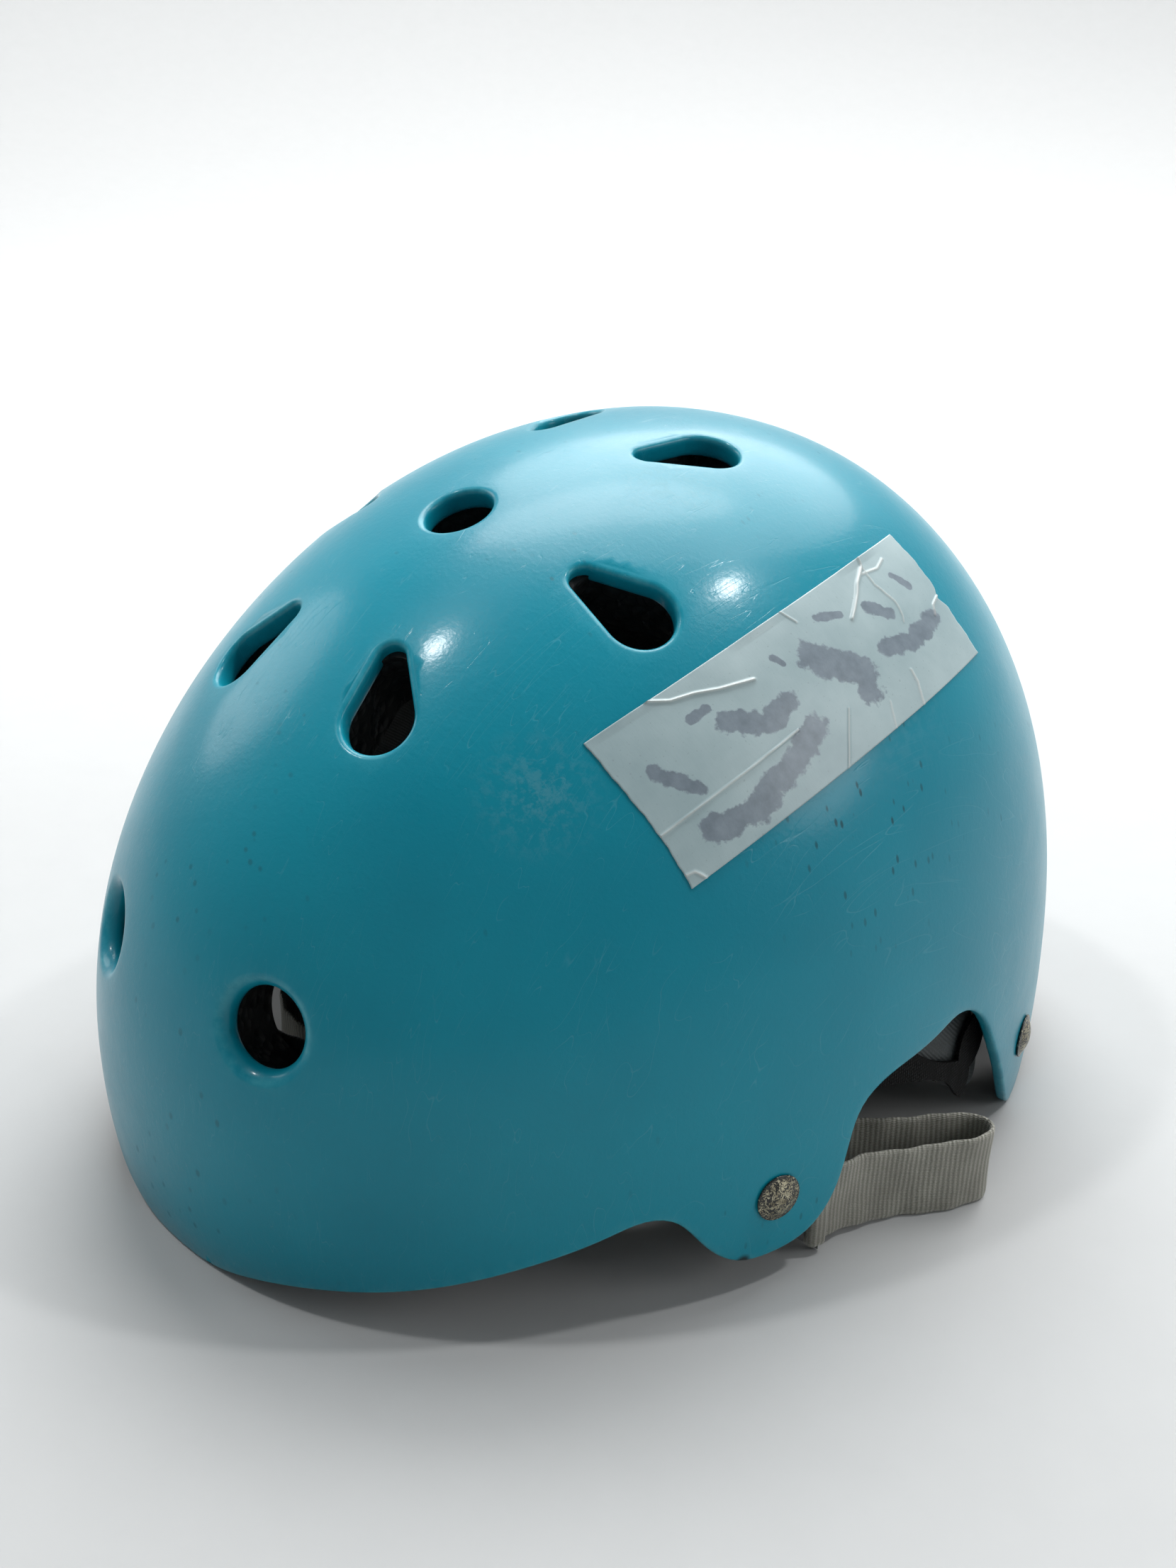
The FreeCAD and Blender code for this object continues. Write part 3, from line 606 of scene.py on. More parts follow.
def evenly(points, spacing):
    at = np.concatenate([[0], np.cumsum(np.linalg.norm(np.diff(points, axis=0), axis=1))])
    even = np.linspace(0, at[-1], max(8, int(at[-1] / spacing)))
    return np.stack([np.interp(even, at, points[:, k]) for k in range(3)], axis=1), even


def build_strap(name, material):
    """Flat webbing on its edge: rounded section, a slight cup across, and fuzzy edges."""
    points, at = evenly(spline_points(name, ROUTES[name]), WEB_SPACING)
    ahead = np.gradient(points, axis=0)
    ahead[:, 2] = 0
    ahead = unit_rows(ahead)
    side = np.stack([ahead[:, 1], -ahead[:, 0], np.zeros(len(ahead))], axis=1)
    half, thick, columns = WEB_WIDTH / 2, WEB_THICK / 2, 14
    rise = -np.cos(np.linspace(0, math.pi, columns)) * half
    face = thick * np.sqrt(np.clip(1 - (rise / half) ** 10, 0, 1))
    cup = WEB_CUP * (rise / half) ** 2
    section = [(c + f, r) for c, f, r in zip(cup, face, rise)]
    section += [(c - f, r) for c, f, r in zip(cup[-2:0:-1], face[-2:0:-1], rise[-2:0:-1])]
    verts, faces, coords = [], [], []
    wander = 0.0003 * np.sin(at * 310) + 0.0002 * np.sin(at * 730 + 1.3)
    for point, across, along, sway in zip(points, side, at, wander):
        for out, up in section:
            spot = point + across * (out + sway * up / half)
            verts.append((spot[0], spot[1], spot[2] + up))
            coords.append((along, up, out))
    ring = len(section)
    for i in range(len(points) - 1):
        for k in range(ring):
            a, b = i * ring + k, i * ring + (k + 1) % ring
            faces.append((a, b, b + ring, a + ring))
    faces.append(tuple(range(ring))[::-1])
    faces.append(tuple(range((len(points) - 1) * ring, len(points) * ring)))
    strap = make_object(name.replace("strap", "webbing"), verts, faces)
    set_attribute(strap, "weave", coords, "FLOAT_VECTOR")
    strap.data.materials.append(material)
    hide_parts(name)
    if name not in FAR_ENDS:
        return


# Each rivet's angles on the dome, and its depth from the skin to the anchor, millimetres.
RIVETS = {"front": (70.2, 92.5, 4.6), "rear": (115.0, 95.4, 5.2)}


def rivet_frame(place, side):
    """A rivet's middle on the skin, and the directions outward, level and up the shell there."""
    theta, phi, _ = RIVETS[place]
    flat = flat_angles(side * theta, phi)[None]
    centre, normal = dome(flat)[0], dome_normals(flat)[0]
    level = unit_rows(np.cross([0, 0, 1.0], normal)[None])[0]
    return centre, normal, level, np.cross(normal, level)


# Reach back to the anchor's bar and drop of the webbing's middle, millimetres.
FOLDS = {"front": (17.0, -11.6), "rear": (16.0, -9.0)}
# Corners of the bar's section, as (reach, height) from the bar's rear edge and top.
BAR_LOW, BAR_HIGH = (-2.05, -2.85), (0.05, 0.05)
# The webbing's section across its width: (off the bar, across), millimetres.
FOLD_RINGS = [(0.0, -9.9), (0.4, -10.0), (1.1, -10.0), (1.4, -9.8), (1.5, -9.2), (1.5, -4.6),
              (1.5, 0.0), (1.5, 4.6), (1.5, 9.2), (1.4, 9.8), (1.1, 10.0), (0.4, 10.0),
              (0.0, 9.9)]


def build_web_fold(place, side_name, side, material):
    """The webbing's turn round an anchor's bar, where the strap starts."""
    centre, normal, level, rise = rivet_frame(place, side)
    depth, (reach, drop) = RIVETS[place][2], FOLDS[place]
    back = level * side
    low, high = ((reach + along, up - depth) for along, up in (BAR_LOW, BAR_HIGH))
    verts, coords, loops = [], [], []
    for offset, across in FOLD_RINGS:
        loop, length, before = [], 0.0, None
        for corner, start in (((high[0], high[1]), 0), ((low[0], high[1]), 90),
                              ((low[0], low[1]), 180), ((high[0], low[1]), 270)):
            for step in range(7):
                turn = math.radians(start + 15 * step)
                reach_at = corner[0] + offset * math.cos(turn)
                height = corner[1] + offset * math.sin(turn)
                if before:
                    length += max(math.dist(before, (reach_at, height)), 0.01)
                before = (reach_at, height)
                spot = back * reach_at + normal * height + rise * (drop + across)
                loop.append(len(verts))
                verts.append(centre + spot * MM)
                coords.append((length * MM, across * MM, offset * MM))
        loops.append(loop)
    faces = [q if side > 0 else q[::-1] for q in strips(loops + loops[:1])]
    fold = make_object(f"{place}_{side_name}_web_fold", verts, faces)
    set_attribute(fold, "weave", coords, "FLOAT_VECTOR")
    fold.data.materials.append(material)


# ---- materials ----
def shell_material():
    """Dyed-through glossy plastic with handling scratches, scuffs, specks and rubbed edges."""
    mat, kit = new_material("turquoise_shell")
    cloud = kit.noise(14, 3, 0.5)
    base = kit.mix(kit.ramp(cloud, 0.35, 0.65), rgb(0.0015, 0.190, 0.265),
                   rgb(0.0020, 0.222, 0.302))
    worn = kit.read("worn")
    rubbed = kit.times(worn, kit.ramp(kit.noise(160, 4, 0.65), 0.42, 0.62))
    base = kit.lay(base, rubbed, 0.30, rgb(0.10, 0.42, 0.48))
    # Hairline scratches: thin level lines of stretched noise, in five directions.
    lines = None
    for turn, stretch in ((0.3, 7), (1.2, 10), (2.1, 9), (2.8, 6), (3.9, 8)):
        vector = kit.stretched((60 * stretch, 18, 70), (0.6 * turn, turn, 1.7 * turn))
        level = kit.noise(1.0, 0.6, 0.4, vector=vector)
        line = kit.ramp(kit.math("ABSOLUTE", kit.math("SUBTRACT", level, 0.5)), 0.0, 0.006, 1, 0)
        line = kit.times(line, kit.ramp(kit.noise(34 + 9 * turn, 2), 0.54, 0.64))
        lines = line if lines is None else kit.math("MAXIMUM", lines, line)
    # Scuffs: dull rubbed patches by the top vent, in two places on the left, and behind.
    rough_patch = kit.ramp(kit.noise(420, 5, 0.7), 0.46, 0.60)
    scuffs = None
    for place, radius, amount in (((0.0301, -0.0115, 0.1696), 0.020, 0.55),
                                  ((0.0598, -0.0770, 0.1194), 0.016, 0.40),
                                  ((0.0790, 0.0050, 0.1330), 0.030, 0.30),
                                  ((-0.060, 0.080, 0.110), 0.030, 0.40)):
        patch = kit.times(kit.near(place, radius, 0.9), amount)
        scuffs = patch if scuffs is None else kit.math("MAXIMUM", scuffs, patch)
    scuffs = kit.times(scuffs, rough_patch)
    base = kit.lay(base, scuffs, 0.45, rgb(0.20, 0.36, 0.39))
    base = kit.lay(base, lines, 0.09, rgb(0.25, 0.50, 0.55))
    # Dark specks of dirt in a few drifts, finer and longer on the left side.
    speck = kit.ramp(kit.cells(210, kit.stretched((1, 1.7, 0.7))), 0.10, 0.19, 1, 0)
    drift = kit.ramp(kit.noise(26, 3, 0.6), 0.52, 0.62)
    side = kit.near((0.0930, -0.0080, 0.1080), 0.040, 0.7)
    speck = kit.times(speck, kit.math("MAXIMUM", kit.times(drift, 0.5), side))
    chip = kit.near((0.1003, -0.0485, 0.0086), 0.0026, 0.5)
    chip = kit.times(chip, kit.ramp(kit.noise(330, 2), 0.36, 0.44))
    grime = kit.math("MAXIMUM", kit.times(speck, 0.70), chip)
    base = kit.mix(grime, base, rgb(0.006, 0.022, 0.026))
    peel = kit.noise(900, 2, 0.5)
    rough = kit.math("ADD", kit.ramp(kit.noise(38, 4, 0.6), 0.3, 0.7, 0.30, 0.40),
                     kit.times(kit.math("MAXIMUM", scuffs, grime), 0.35))
    shallow = kit.bump(peel, 0.05, 0.0004)
    carved = kit.bump(kit.math("SUBTRACT", 0.0, lines), 0.12, 0.0003, shallow)
    pitted = kit.bump(kit.math("SUBTRACT", rough_patch, 1.0), 0.06, 0.0004, carved)
    kit.set(Base_Color=base, Roughness=rough, Normal=pitted)
    kit.set(Specular_IOR_Level=0.16, Coat_Weight=0.32, Coat_Roughness=0.15, Coat_IOR=1.42)
    kit.feed(kit.shader, "Coat Normal", carved)
    return mat


def foam_material():
    """Black bead foam: closed beads with dark seams and torn, glinting streaks."""
    mat, kit = new_material("bead_foam")
    bead = kit.cells(330)
    seam = kit.cells(330, feature="DISTANCE_TO_EDGE")
    streak = kit.noise(1.0, 5, 0.7, vector=kit.stretched((260, 260, 60)))
    torn = kit.ramp(streak, 0.60, 0.72)
    base = kit.mix(kit.ramp(seam, 0.0, 0.09), rgb(0.002, 0.002, 0.002), rgb(0.010, 0.011, 0.011))
    base = kit.lay(base, torn, 0.5, rgb(0.07, 0.075, 0.075))
    swell = kit.bump(kit.ramp(bead, 0.0, 0.6, 1, 0), 0.7, 0.0012)
    kit.set(Specular_IOR_Level=0.3)
    kit.set(Base_Color=base, Roughness=kit.ramp(torn, 0, 1, 0.62, 0.33),
            Normal=kit.bump(torn, 0.8, 0.0008, swell))
    return mat


def padding_material():
    """Brushed dark grey knit over foam, with a fine diagonal grain and lint."""
    mat, kit = new_material("pad_cloth")
    shade = kit.noise(55, 4, 0.6)
    base = kit.mix(kit.ramp(shade, 0.35, 0.65), rgb(0.010, 0.015, 0.016), rgb(0.026, 0.034, 0.035))
    knit = kit.add("TexWave", {"bands_direction": "DIAGONAL"}, Vector=kit.coords(),
                   Scale=520.0, Distortion=1.2, Detail=2.0).outputs["Fac"]
    lint = kit.ramp(kit.noise(1.0, 3, 0.6, vector=kit.stretched((1500, 300, 700))), 0.70, 0.76)
    base = kit.lay(base, kit.math("SUBTRACT", 1.0, knit), 0.35, rgb(0.010, 0.013, 0.014))
    base = kit.lay(base, lint, 0.25, rgb(0.22, 0.22, 0.20))
    fine = kit.bump(knit, 0.35, 0.0003)
    kit.set(Specular_IOR_Level=0.3)
    kit.set(Base_Color=base, Roughness=0.55, Sheen_Weight=0.10, Sheen_Roughness=0.4,
            Normal=kit.bump(kit.noise(1400, 3), 0.25, 0.0003, fine))
    return mat


def torn_foam_material():
    """Crumbling open foam: grey-brown, pitted, and dusty on its high points."""
    mat, kit = new_material("torn_foam")
    cell = kit.cells(1500)
    stain = kit.ramp(kit.noise(260, 4, 0.6), 0.38, 0.62)
    base = kit.mix(stain, rgb(0.035, 0.036, 0.034), rgb(0.16, 0.155, 0.135))
    base = kit.mix(kit.ramp(cell, 0.0, 0.35, 1, 0), base, rgb(0.26, 0.25, 0.22))
    kit.set(Specular_IOR_Level=0.2)
    kit.set(Base_Color=base, Roughness=0.92, Normal=kit.bump(cell, 0.9, 0.0009))
    return mat


def hook_material():
    """Black hook tape: rows of small hooks, with lint caught in places."""
    mat, kit = new_material("hook_tape")
    hooks = kit.cells(1100, random=0.25)
    lint = kit.ramp(kit.noise(900, 5, 0.7), 0.60, 0.68)
    base = kit.mix(kit.times(lint, 0.15), rgb(0.002, 0.002, 0.002),
                   rgb(0.05, 0.05, 0.045))
    kit.set(Specular_IOR_Level=0.12)
    kit.set(Base_Color=base, Roughness=kit.ramp(hooks, 0, 0.6, 0.55, 0.85),
            Normal=kit.bump(kit.ramp(hooks, 0, 0.5, 1, 0), 0.8, 0.0006))
    return mat


def rivet_material():
    """Black lacquer on metal, flaked off the crown in small curls and left at the edge."""
    mat, kit = new_material("rivet_metal")
    worn = kit.read("worn")
    curls = kit.noise(900, 2, 0.55, distortion=2.4)
    patch = kit.times(kit.noise(190, 2), 0.12)
    level = kit.math("ADD", kit.math("ADD", curls, patch), kit.times(worn, 0.10))
    flaked = kit.ramp(level, 0.625, 0.665)
    tint = kit.noise(500, 3)
    metal = kit.mix(kit.ramp(tint, 0.35, 0.65), rgb(0.24, 0.21, 0.14), rgb(0.56, 0.52, 0.38))
    kit.set(Base_Color=kit.mix(flaked, rgb(0.012, 0.013, 0.011), metal),
            Metallic=kit.times(flaked, 0.9),
            Roughness=kit.ramp(flaked, 0, 1, 0.24, 0.45),
            Normal=kit.bump(kit.math("SUBTRACT", 0.0, flaked), 0.5, 0.0003))
    return mat


def moulded_material(name, dark, light, grain):
    """Moulded plastic with a fine spark texture, soft shade changes and rubbed corners."""
    mat, kit = new_material(name)
    spark = kit.noise(grain, 4, 0.6)
    base = kit.mix(kit.ramp(kit.noise(90, 4, 0.6), 0.35, 0.65), dark, light)
    rubs = kit.ramp(kit.noise(1.0, 4, 0.7, vector=kit.stretched((900, 120, 500))), 0.64, 0.72)
    base = kit.lay(base, rubs, 0.3, rgb(0.10, 0.10, 0.10))
    kit.set(Base_Color=base, Roughness=kit.ramp(spark, 0.3, 0.7, 0.36, 0.55),
            Normal=kit.bump(spark, 0.22, 0.0003))
    return mat


def webbing_material():
    """Grey-white polyester webbing: ribs across the width, crossed by fine threads."""
    mat, kit = new_material("grey_webbing")
    place = kit.read("weave", "Vector")
    parts = kit.add("SeparateXYZ", Vector=place)
    along, up = parts.outputs["X"], parts.outputs["Y"]
    sway = kit.times(kit.math("SUBTRACT", kit.noise(120, 3, vector=place), 0.5), 0.0007)
    along = kit.math("ADD", along, sway)
    ribs = kit.math("SINE", kit.times(along, 2 * math.pi / 0.00132))
    ribs = kit.ramp(ribs, -1, 1)
    picks = kit.math("SINE", kit.times(up, 2 * math.pi / 0.00046))
    shift = kit.math("SINE", kit.times(along, math.pi / 0.00132))
    picks = kit.ramp(kit.times(picks, shift), -1, 1)
    fibre = kit.noise(1.0, 4, 0.7, vector=kit.stretched((2600, 5200, 2600), source=place))
    soil = kit.ramp(kit.noise(75, 4, 0.6, vector=place), 0.38, 0.66)
    base = kit.mix(ribs, rgb(0.205, 0.202, 0.165), rgb(0.37, 0.365, 0.310))
    base = kit.lay(base, kit.ramp(picks, 0.2, 0.8, 1, 0), 0.42, rgb(0.150, 0.147, 0.118))
    base = kit.lay(base, kit.ramp(fibre, 0.52, 0.70), 0.45, rgb(0.50, 0.49, 0.45))
    base = kit.lay(base, soil, 0.38, rgb(0.11, 0.105, 0.085))
    edge = kit.ramp(kit.math("ABSOLUTE", up), 0.0086, 0.0098)
    stitch = kit.ramp(kit.math("SINE", kit.times(along, 2 * math.pi / 0.0010)), -0.4, 0.6)
    base = kit.lay(base, kit.times(edge, stitch), 0.6, rgb(0.46, 0.45, 0.40))
    deep = kit.bump(ribs, 0.35, 0.0004)
    crossed = kit.bump(picks, 0.6, 0.0003, deep)
    kit.set(Base_Color=base, Roughness=0.82, Sheen_Weight=0.2,
            Normal=kit.bump(fibre, 0.5, 0.0003, crossed))
    return mat


def tape_material():
    """Glossy paper tape: pale blue-grey, with a painted highlight along its creases, and smeared
    ink.
    """
    mat, kit = new_material("paper_tape")
    place = kit.read("sheet", "Vector")
    crease = kit.read("crease")
    ink = kit.read("ink")
    crepe = kit.noise(1.0, 4, 0.6, vector=kit.stretched((420, 1500, 1), source=place))
    base = kit.mix(kit.ramp(kit.noise(35, 4, 0.6, vector=place), 0.35, 0.65),
                   rgb(0.255, 0.345, 0.365), rgb(0.345, 0.440, 0.455))
    feather = kit.times(kit.math("SUBTRACT", kit.noise(190, 5, 0.62, vector=place), 0.5), 1.3)
    smear = kit.ramp(kit.math("ADD", ink, feather), 0.40, 0.52)
    tone = kit.mix(kit.ramp(kit.noise(260, 4, 0.6, vector=place), 0.3, 0.7),
                   rgb(0.100, 0.130, 0.165), rgb(0.165, 0.205, 0.245))
    base = kit.lay(base, smear, 0.90, tone)
    # Painted highlight: the base colour is lightened along the creases, as if light caught their
    # ridges.
    lifted = kit.ramp(crease, 0.25, 1.0)
    base = kit.lay(base, lifted, 0.5, rgb(0.60, 0.58, 0.54))
    grit = kit.ramp(kit.noise(1300, 3, vector=place), 0.66, 0.70)
    base = kit.lay(base, grit, 0.25, rgb(0.12, 0.13, 0.13))
    kit.set(Base_Color=base, Roughness=kit.ramp(crease, 0, 1, 0.46, 0.25),
            Coat_Weight=0.25, Coat_Roughness=0.2,
            Normal=kit.bump(crepe, 0.07, 0.0003))
    return mat


# ---- tape ----
# Corners on the left side: low front, front bottom, rear bottom and top rear.
TAPE = np.array([(60.8, -65.4, 128.0), (84.2, -55.0, 99.8), (78.2, 50.3, 127.2),
                 (58.2, 37.2, 154.8)]) * MM
TAPE_WIDE, TAPE_LONG, TAPE_LIFT, TAPE_HEM = 0.0390, 0.1120, 0.00032, 0.00005
TAPE_GRID = 136, 340
# Creases as points (across, along) with their height and width in millimetres.
CREASES = [
    ([(-0.02, 0.14), (0.07, 0.19), (0.11, 0.24), (0.17, 0.29), (0.24, 0.37)], 0.60, 0.34),
    ([(0.66, -0.02), (0.65, 0.10), (0.645, 0.22), (0.63, 0.38)], 0.42, 0.26),
    ([(-0.02, 0.83), (0.06, 0.82), (0.13, 0.77), (0.19, 0.74), (0.29, 0.68)], 0.55, 0.42),
    ([(0.06, 0.82), (0.20, 0.81), (0.36, 0.83), (0.50, 0.82)], 0.30, 0.30),
    ([(0.10, 0.80), (0.13, 0.86), (0.10, 0.90)], 0.22, 0.35),
    ([(-0.02, 0.53), (0.11, 0.55)], 0.30, 0.26),
    ([(0.71, 0.52), (0.84, 0.48), (1.02, 0.43)], 0.30, 0.26),
    ([(0.84, 0.63), (1.02, 0.60)], 0.30, 0.26),
    ([(0.77, 0.74), (0.86, 0.735), (1.02, 0.71)], 0.34, 0.40),
    ([(0.50, 1.02), (0.54, 0.96), (0.60, 0.93)], 0.40, 0.34),
    ([(0.90, -0.03), (0.93, 0.02), (1.02, 0.04)], 0.35, 0.34),
]
# Ink that has run: points (across, along) with a half width in millimetres.
SMEARS = [
    ([(0.80, 0.10), (0.86, 0.20), (0.78, 0.32), (0.68, 0.42)], 3.0),
    ([(0.36, 0.26), (0.50, 0.33), (0.46, 0.40)], 2.6),
    ([(0.32, 0.52), (0.48, 0.56), (0.60, 0.62), (0.70, 0.60)], 3.6),
    ([(0.56, 0.72), (0.64, 0.80), (0.60, 0.92)], 2.5),
    ([(0.16, 0.60), (0.22, 0.66)], 1.1),
    ([(0.28, 0.74), (0.40, 0.79)], 1.6),
    ([(0.36, 0.07), (0.56, 0.12)], 1.7),
    ([(0.22, 0.88), (0.34, 0.91)], 1.0),
    ([(0.22, 0.20), (0.22, 0.24)], 1.1),
    ([(0.20, 0.44), (0.26, 0.45)], 0.9),
]


def distance_to_line(points, line):
    """Least distance from each point to a broken line, all in one plane."""
    least = np.full(len(points), 1e9)
    for a, b in zip(line, line[1:]):
        run = b - a
        share = np.clip(((points - a) @ run) / (run @ run), 0, 1)
        least = np.minimum(least, np.linalg.norm(points - a - share[:, None] * run, axis=1))
    return least


def build_tape(material):
    across, along = TAPE_GRID
    s, t = (g.ravel() for g in np.meshgrid(np.linspace(0, 1, across), np.linspace(0, 1, along)))
    sheet = np.stack([s * TAPE_WIDE, t * TAPE_LONG], axis=1)
    # The torn ends run a little unevenly.
    ragged = (np.sin(s * 7) * 0.45 + np.sin(s * 31 + 1) * 0.16 + np.sin(s * 83) * 0.07) * MM
    nick = 1.6 * MM * np.exp(-((s - 0.53) / 0.05) ** 2)
    t = t + (2 * t - 1) * np.where(t > 0.5, ragged - nick, 0.5 * ragged) / TAPE_LONG
    a, b, c, d = TAPE
    flat = (((1 - s) * (1 - t))[:, None] * a + (s * (1 - t))[:, None] * b
            + (s * t)[:, None] * c + ((1 - s) * t)[:, None] * d)
    axis = np.cross(b - d, c - a)
    spots = onto_dome(flat, axis, (0.78, -0.10))
    base, normal = dome(spots), dome_normals(spots)
    size = np.array([TAPE_WIDE, TAPE_LONG])
    height = np.zeros(len(s))
    crease = np.zeros(len(s))
    for line, tall, wide in CREASES:
        gap = distance_to_line(sheet, np.array(line) * size)
        ridge = np.exp(-(gap / (0.85 * wide * MM)) ** 2)
        height = np.maximum(height, ridge * tall * MM)
        crease = np.maximum(crease, np.exp(-(gap / (wide * MM)) ** 2))
    ink = np.zeros(len(s))
    for line, wide in SMEARS:
        gap = distance_to_line(sheet, np.array(line) * size)
        ink = np.maximum(ink, np.clip(1 - gap / (2 * wide * MM), 0, 1))
    ripple = 0.00005 * np.sin(s * 7 + 2 * np.sin(t * 9)) * np.sin(t * 19 + 1)
    lifted = 0.0004 * np.clip(1 - sheet[:, 0] / 0.002, 0, 1) * np.clip(np.sin(t * 17), 0, 1)
    top = base + normal * (TAPE_LIFT + height + ripple + lifted)[:, None]
    count = across * along
    grid = np.arange(count).reshape(along, across)
    faces = [(grid[i, k], grid[i, k + 1], grid[i + 1, k + 1], grid[i + 1, k])
             for i in range(along - 1) for k in range(across - 1)]
    border = np.concatenate([grid[0], grid[1:, -1], grid[-1, -2::-1], grid[-2:0:-1, 0]])
    hem = base[border] + normal[border] * TAPE_HEM
    after = np.roll(np.arange(len(border)), -1)
    faces += [(count + i, count + j, border[j], border[i]) for i, j in enumerate(after)]
    own = np.concatenate([np.arange(count), border])
    tape = make_object("paper_tape", np.vstack([top, hem]), faces)
    set_attribute(tape, "sheet", np.column_stack([sheet, np.zeros(count)])[own], "FLOAT_VECTOR")
    set_attribute(tape, "crease", crease[own])
    set_attribute(tape, "ink", ink[own])
    tape.data.materials.append(material)
    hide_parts("tape_label")


# ---- rivets ----
# The cap's profile about the axis: (radius, height), millimetres.
CAP_TOP, ANCHOR_THICK, CAP_STEPS = 2.1, 2.8, 48
RIVET_CAP = [(0.9, 2.06), (1.8, 1.93), (2.7, 1.70), (3.6, 1.36), (4.4, 0.98), (5.0, 0.70),
             (5.35, 0.62), (5.62, 0.60), (5.78, 0.50), (5.80, 0.34), (5.72, 0.18), (5.5, 0.06)]


def build_rivet(place, side_name, side, material):
    centre, normal, level, rise = rivet_frame(place, side)
    under = -(RIVETS[place][2] + ANCHOR_THICK)
    profile = RIVET_CAP + [(2.2, 0.04), (2.2, under), (3.9, under), (4.2, under - 0.3),
                           (4.2, under - 0.9), (3.0, under - 1.7), (1.2, under - 1.8)]
    count = CAP_STEPS
    verts, worn = [centre + normal * CAP_TOP * MM], [1.0]
    for radius, height in profile:
        for k in range(count):
            turn = 2 * math.pi * k / count
            out = level * math.cos(turn) + rise * math.sin(turn)
            verts.append(centre + (out * radius + normal * height) * MM)
            worn.append(float(np.clip((5.5 - radius) / 1.6, -0.9, 0.75)) if height > 0 else -0.9)
    faces = [(0, 1 + k, 1 + (k + 1) % count) for k in range(count)]
    rings = [list(range(1 + i * count, 1 + (i + 1) * count)) for i in range(len(profile))]
    faces += [q[::-1] for q in strips(rings)]
    faces.append(tuple(rings[-1])[::-1])
    rivet = make_object(f"{place}_{side_name}_rivet_cap", verts, faces)
    set_attribute(rivet, "worn", worn)
    rivet.data.materials.append(material)
    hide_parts(f"{place}_{side_name}_rivet")


# ---- pads ----
PADS = ["front_pad", "rear_pad", "left_crown_pad", "right_crown_pad", "left_temple_pad",
        "right_temple_pad", "left_ear_pad", "right_ear_pad"]
PAD_VOXEL = 0.0032
PAD_SHRINK = 0.0011        # start this far inside the CAD pad
PAD_SWELL = 0.0010         # and move no further out than this


def pad_start(node):
    """Evenly meshed copy of a CAD pad, drawn in along its normals."""
    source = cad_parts[node]
    mesh = source.data.copy()
    pad = bpy.data.objects.new(node.replace("pad", "cushion"), mesh)
    bpy.context.collection.objects.link(pad)
    mesh.materials.clear()
    remesh = pad.modifiers.new("even", "REMESH")
    remesh.mode = "VOXEL"
    remesh.voxel_size = PAD_VOXEL
    smooth = pad.modifiers.new("soften", "SMOOTH")
    smooth.factor = 0.5
    smooth.iterations = 3
    apply_modifiers(pad)
    places = np.array([v.co for v in pad.data.vertices])
    normals = np.array([v.normal for v in pad.data.vertices])
    pad.data.vertices.foreach_set("co", (places - normals * PAD_SHRINK).ravel())
    return pad


def apply_modifiers(obj):
    bpy.context.view_layer.update()
    shown = obj.evaluated_get(bpy.context.evaluated_depsgraph_get())
    mesh = bpy.data.meshes.new_from_object(shown)
    obj.modifiers.clear()
    obj.data = mesh


PUFF = {"quality": 5, "mass": 0.1, "tension_stiffness": 25, "compression_stiffness": 25,
        "bending_stiffness": 0.8, "use_pressure": True, "uniform_pressure_force": 4}
PUFF_FRAMES = 20


def inflate(pads):
    """Cloth simulation of every pad at once: pressure inside, no gravity."""
    starts = []
    for pad in pads:
        starts.append(np.array([v.co for v in pad.data.vertices]))
        cloth = pad.modifiers.new("puff", "CLOTH")
        for setting, value in PUFF.items():
            setattr(cloth.settings, setting, value)
        cloth.settings.effector_weights.gravity = 0
        cloth.point_cache.frame_start = 1
        cloth.point_cache.frame_end = PUFF_FRAMES
    for step in range(1, PUFF_FRAMES + 1):
        bpy.context.scene.frame_set(step)
    for pad, start in zip(pads, starts):
        apply_modifiers(pad)
        moved = np.array([v.co for v in pad.data.vertices]) - start
        reach = np.maximum(np.linalg.norm(moved, axis=1, keepdims=True), 1e-12)
        capped = start + moved * np.minimum(1, PAD_SWELL / reach)
        pad.data.vertices.foreach_set("co", capped.ravel())
    bpy.context.scene.frame_set(1)


def seam_pads(pad):
    """One subdivision, then a fine wrinkle: the cloth is pushed in and out a little along its
    normals.
    """
    pad.modifiers.new("fine", "SUBSURF").levels = 1
    apply_modifiers(pad)
    places = np.array([v.co for v in pad.data.vertices])
    normals = np.array([v.normal for v in pad.data.vertices])
    wrinkle = (np.sin(places @ [410.0, 130.0, 90.0]) * np.sin(places @ [60.0, 350.0, 240.0]))
    places = places + normals * (wrinkle * 0.00016)[:, None]
    pad.data.vertices.foreach_set("co", places.ravel())
    smooth_faces(pad.data)


def build_pads(material):
    pads = [pad_start(node) for node in PADS]
    inflate(pads)
    for node, pad in zip(PADS, pads):
        seam_pads(pad)
        pad.data.materials.append(material)
        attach(pad, "root")
        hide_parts(node)


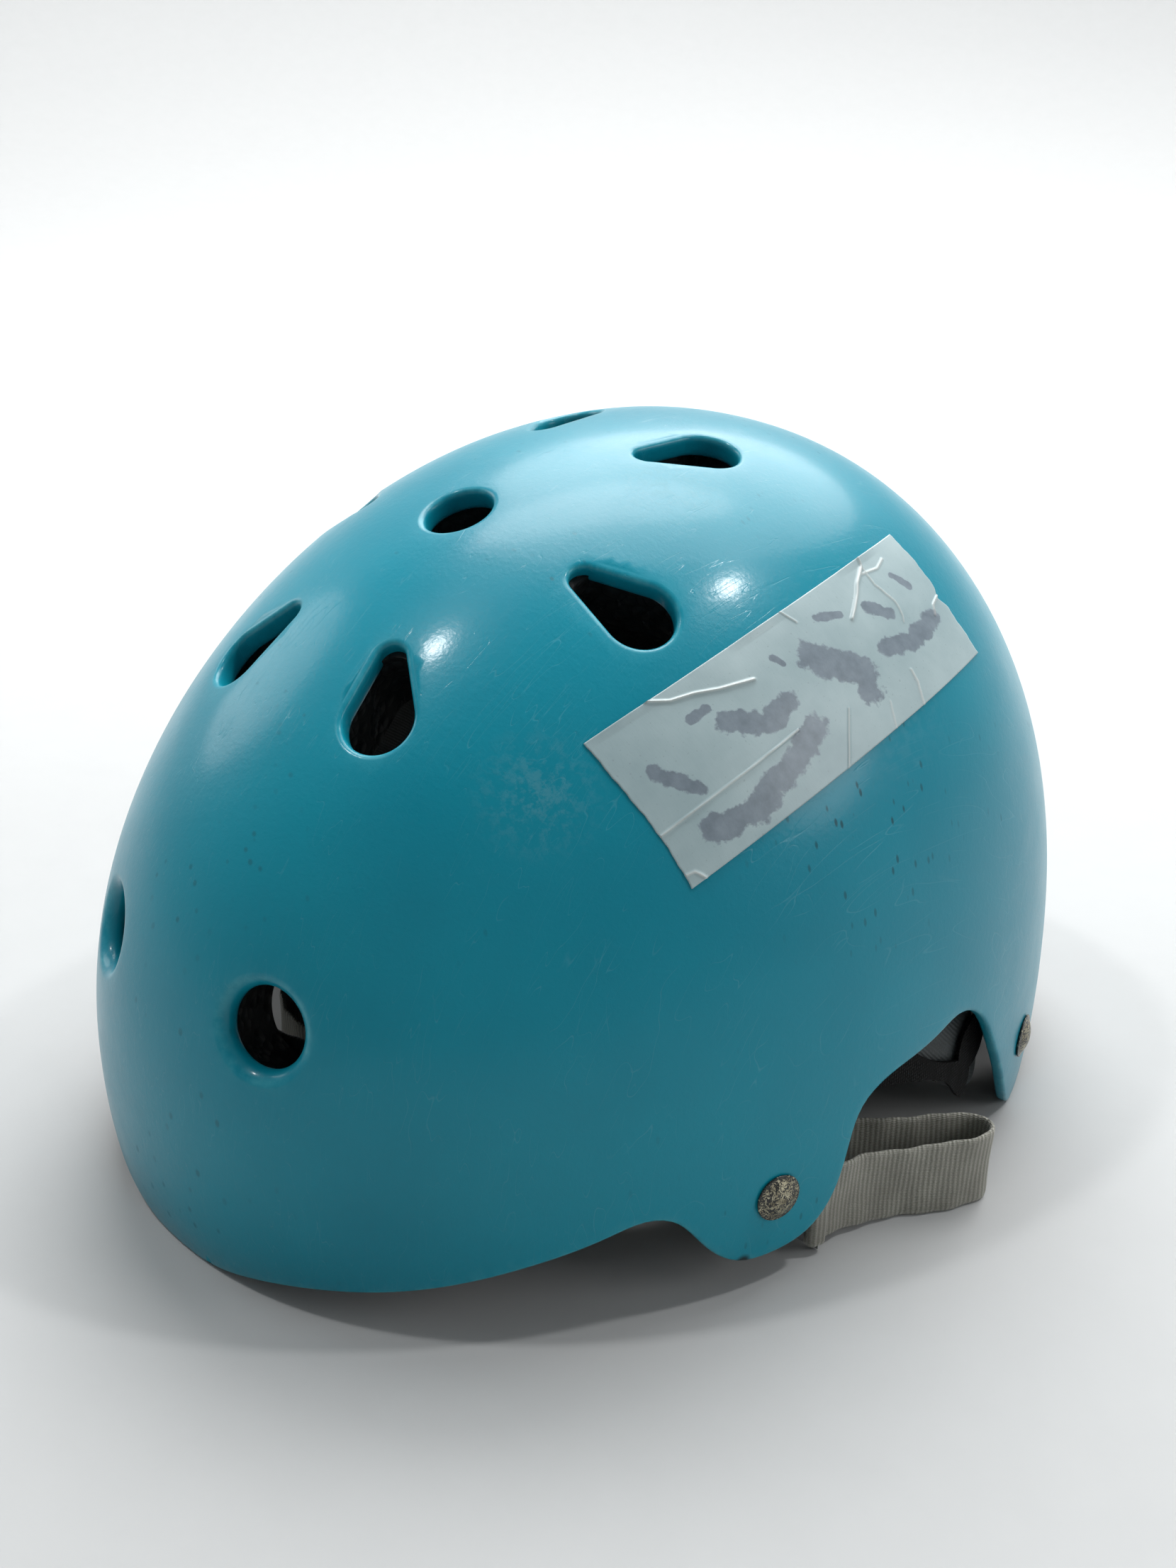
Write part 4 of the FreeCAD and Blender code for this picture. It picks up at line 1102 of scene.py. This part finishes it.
def build_torn_foam(material):
    """Ragged lump of foam left hanging at the left ear pad's lower rear corner."""
    pad = np.array([v.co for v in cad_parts["left_ear_pad"].data.vertices])
    corner = pad[np.argmax(pad[:, 1] - pad[:, 2])]
    shape = bmesh.new()
    bmesh.ops.create_icosphere(shape, subdivisions=5, radius=1.0)
    for vert in shape.verts:
        way = vert.co.copy()
        lump = 0.30 * noise.noise(way * 1.7) + 0.22 * noise.noise(way * 4.1)
        lump += 0.12 * noise.noise(way * 9.3) + 0.06 * noise.noise(way * 21.0)
        vert.co = Vector((way.x * 2.6, way.y * 6.0, way.z * 4.0)) * (1 + lump) * MM
        vert.co += Vector(corner) + Vector((0.0, -0.0015, 0.0005))
    mesh = bpy.data.meshes.new("torn_foam")
    shape.to_mesh(mesh)
    shape.free()
    lump = smooth_object("torn_foam", mesh)
    mesh.materials.append(material)
    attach(lump, "root")


# ---- carried-over CAD nodes ----
def finish_nodes():
    plastic = moulded_material("black_nylon", rgb(0.008, 0.008, 0.009),
                               rgb(0.018, 0.018, 0.019), 700)
    grey = moulded_material("anchor_nylon", rgb(0.014, 0.015, 0.015),
                            rgb(0.028, 0.029, 0.029), 500)
    foam, hooks = foam_material(), hook_material()
    chosen = {"pad_hook_discs": hooks, "ear_pad_hooks": hooks, "rivet_washers": rivet_material()}
    for node in ("left_divider", "right_divider", "buckle_socket", "buckle_clip",
                 "upper_prong", "lower_prong", "strap_keeper"):
        chosen[node] = plastic
    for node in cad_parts:
        if node.endswith("_anchor"):
            chosen[node] = grey
        if node.startswith("foam_"):
            chosen[node] = foam
    for node, material in chosen.items():
        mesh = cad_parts[node].data
        mesh.materials.clear()
        mesh.materials.append(material)


def main():
    make_camera()
    make_stage()
    web = webbing_material()
    for name in sorted(ROUTES, key=lambda route: route in FAR_ENDS):
        build_strap(name, web)
    build_shell().data.materials.append(shell_material())
    build_tape(tape_material())
    metal = rivet_material()
    for place in RIVETS:
        for side_name, side in (("left", 1), ("right", -1)):
            build_rivet(place, side_name, side, metal)
            build_web_fold(place, side_name, side, web)
    build_pads(padding_material())
    build_torn_foam(torn_foam_material())
    finish_nodes()


main()
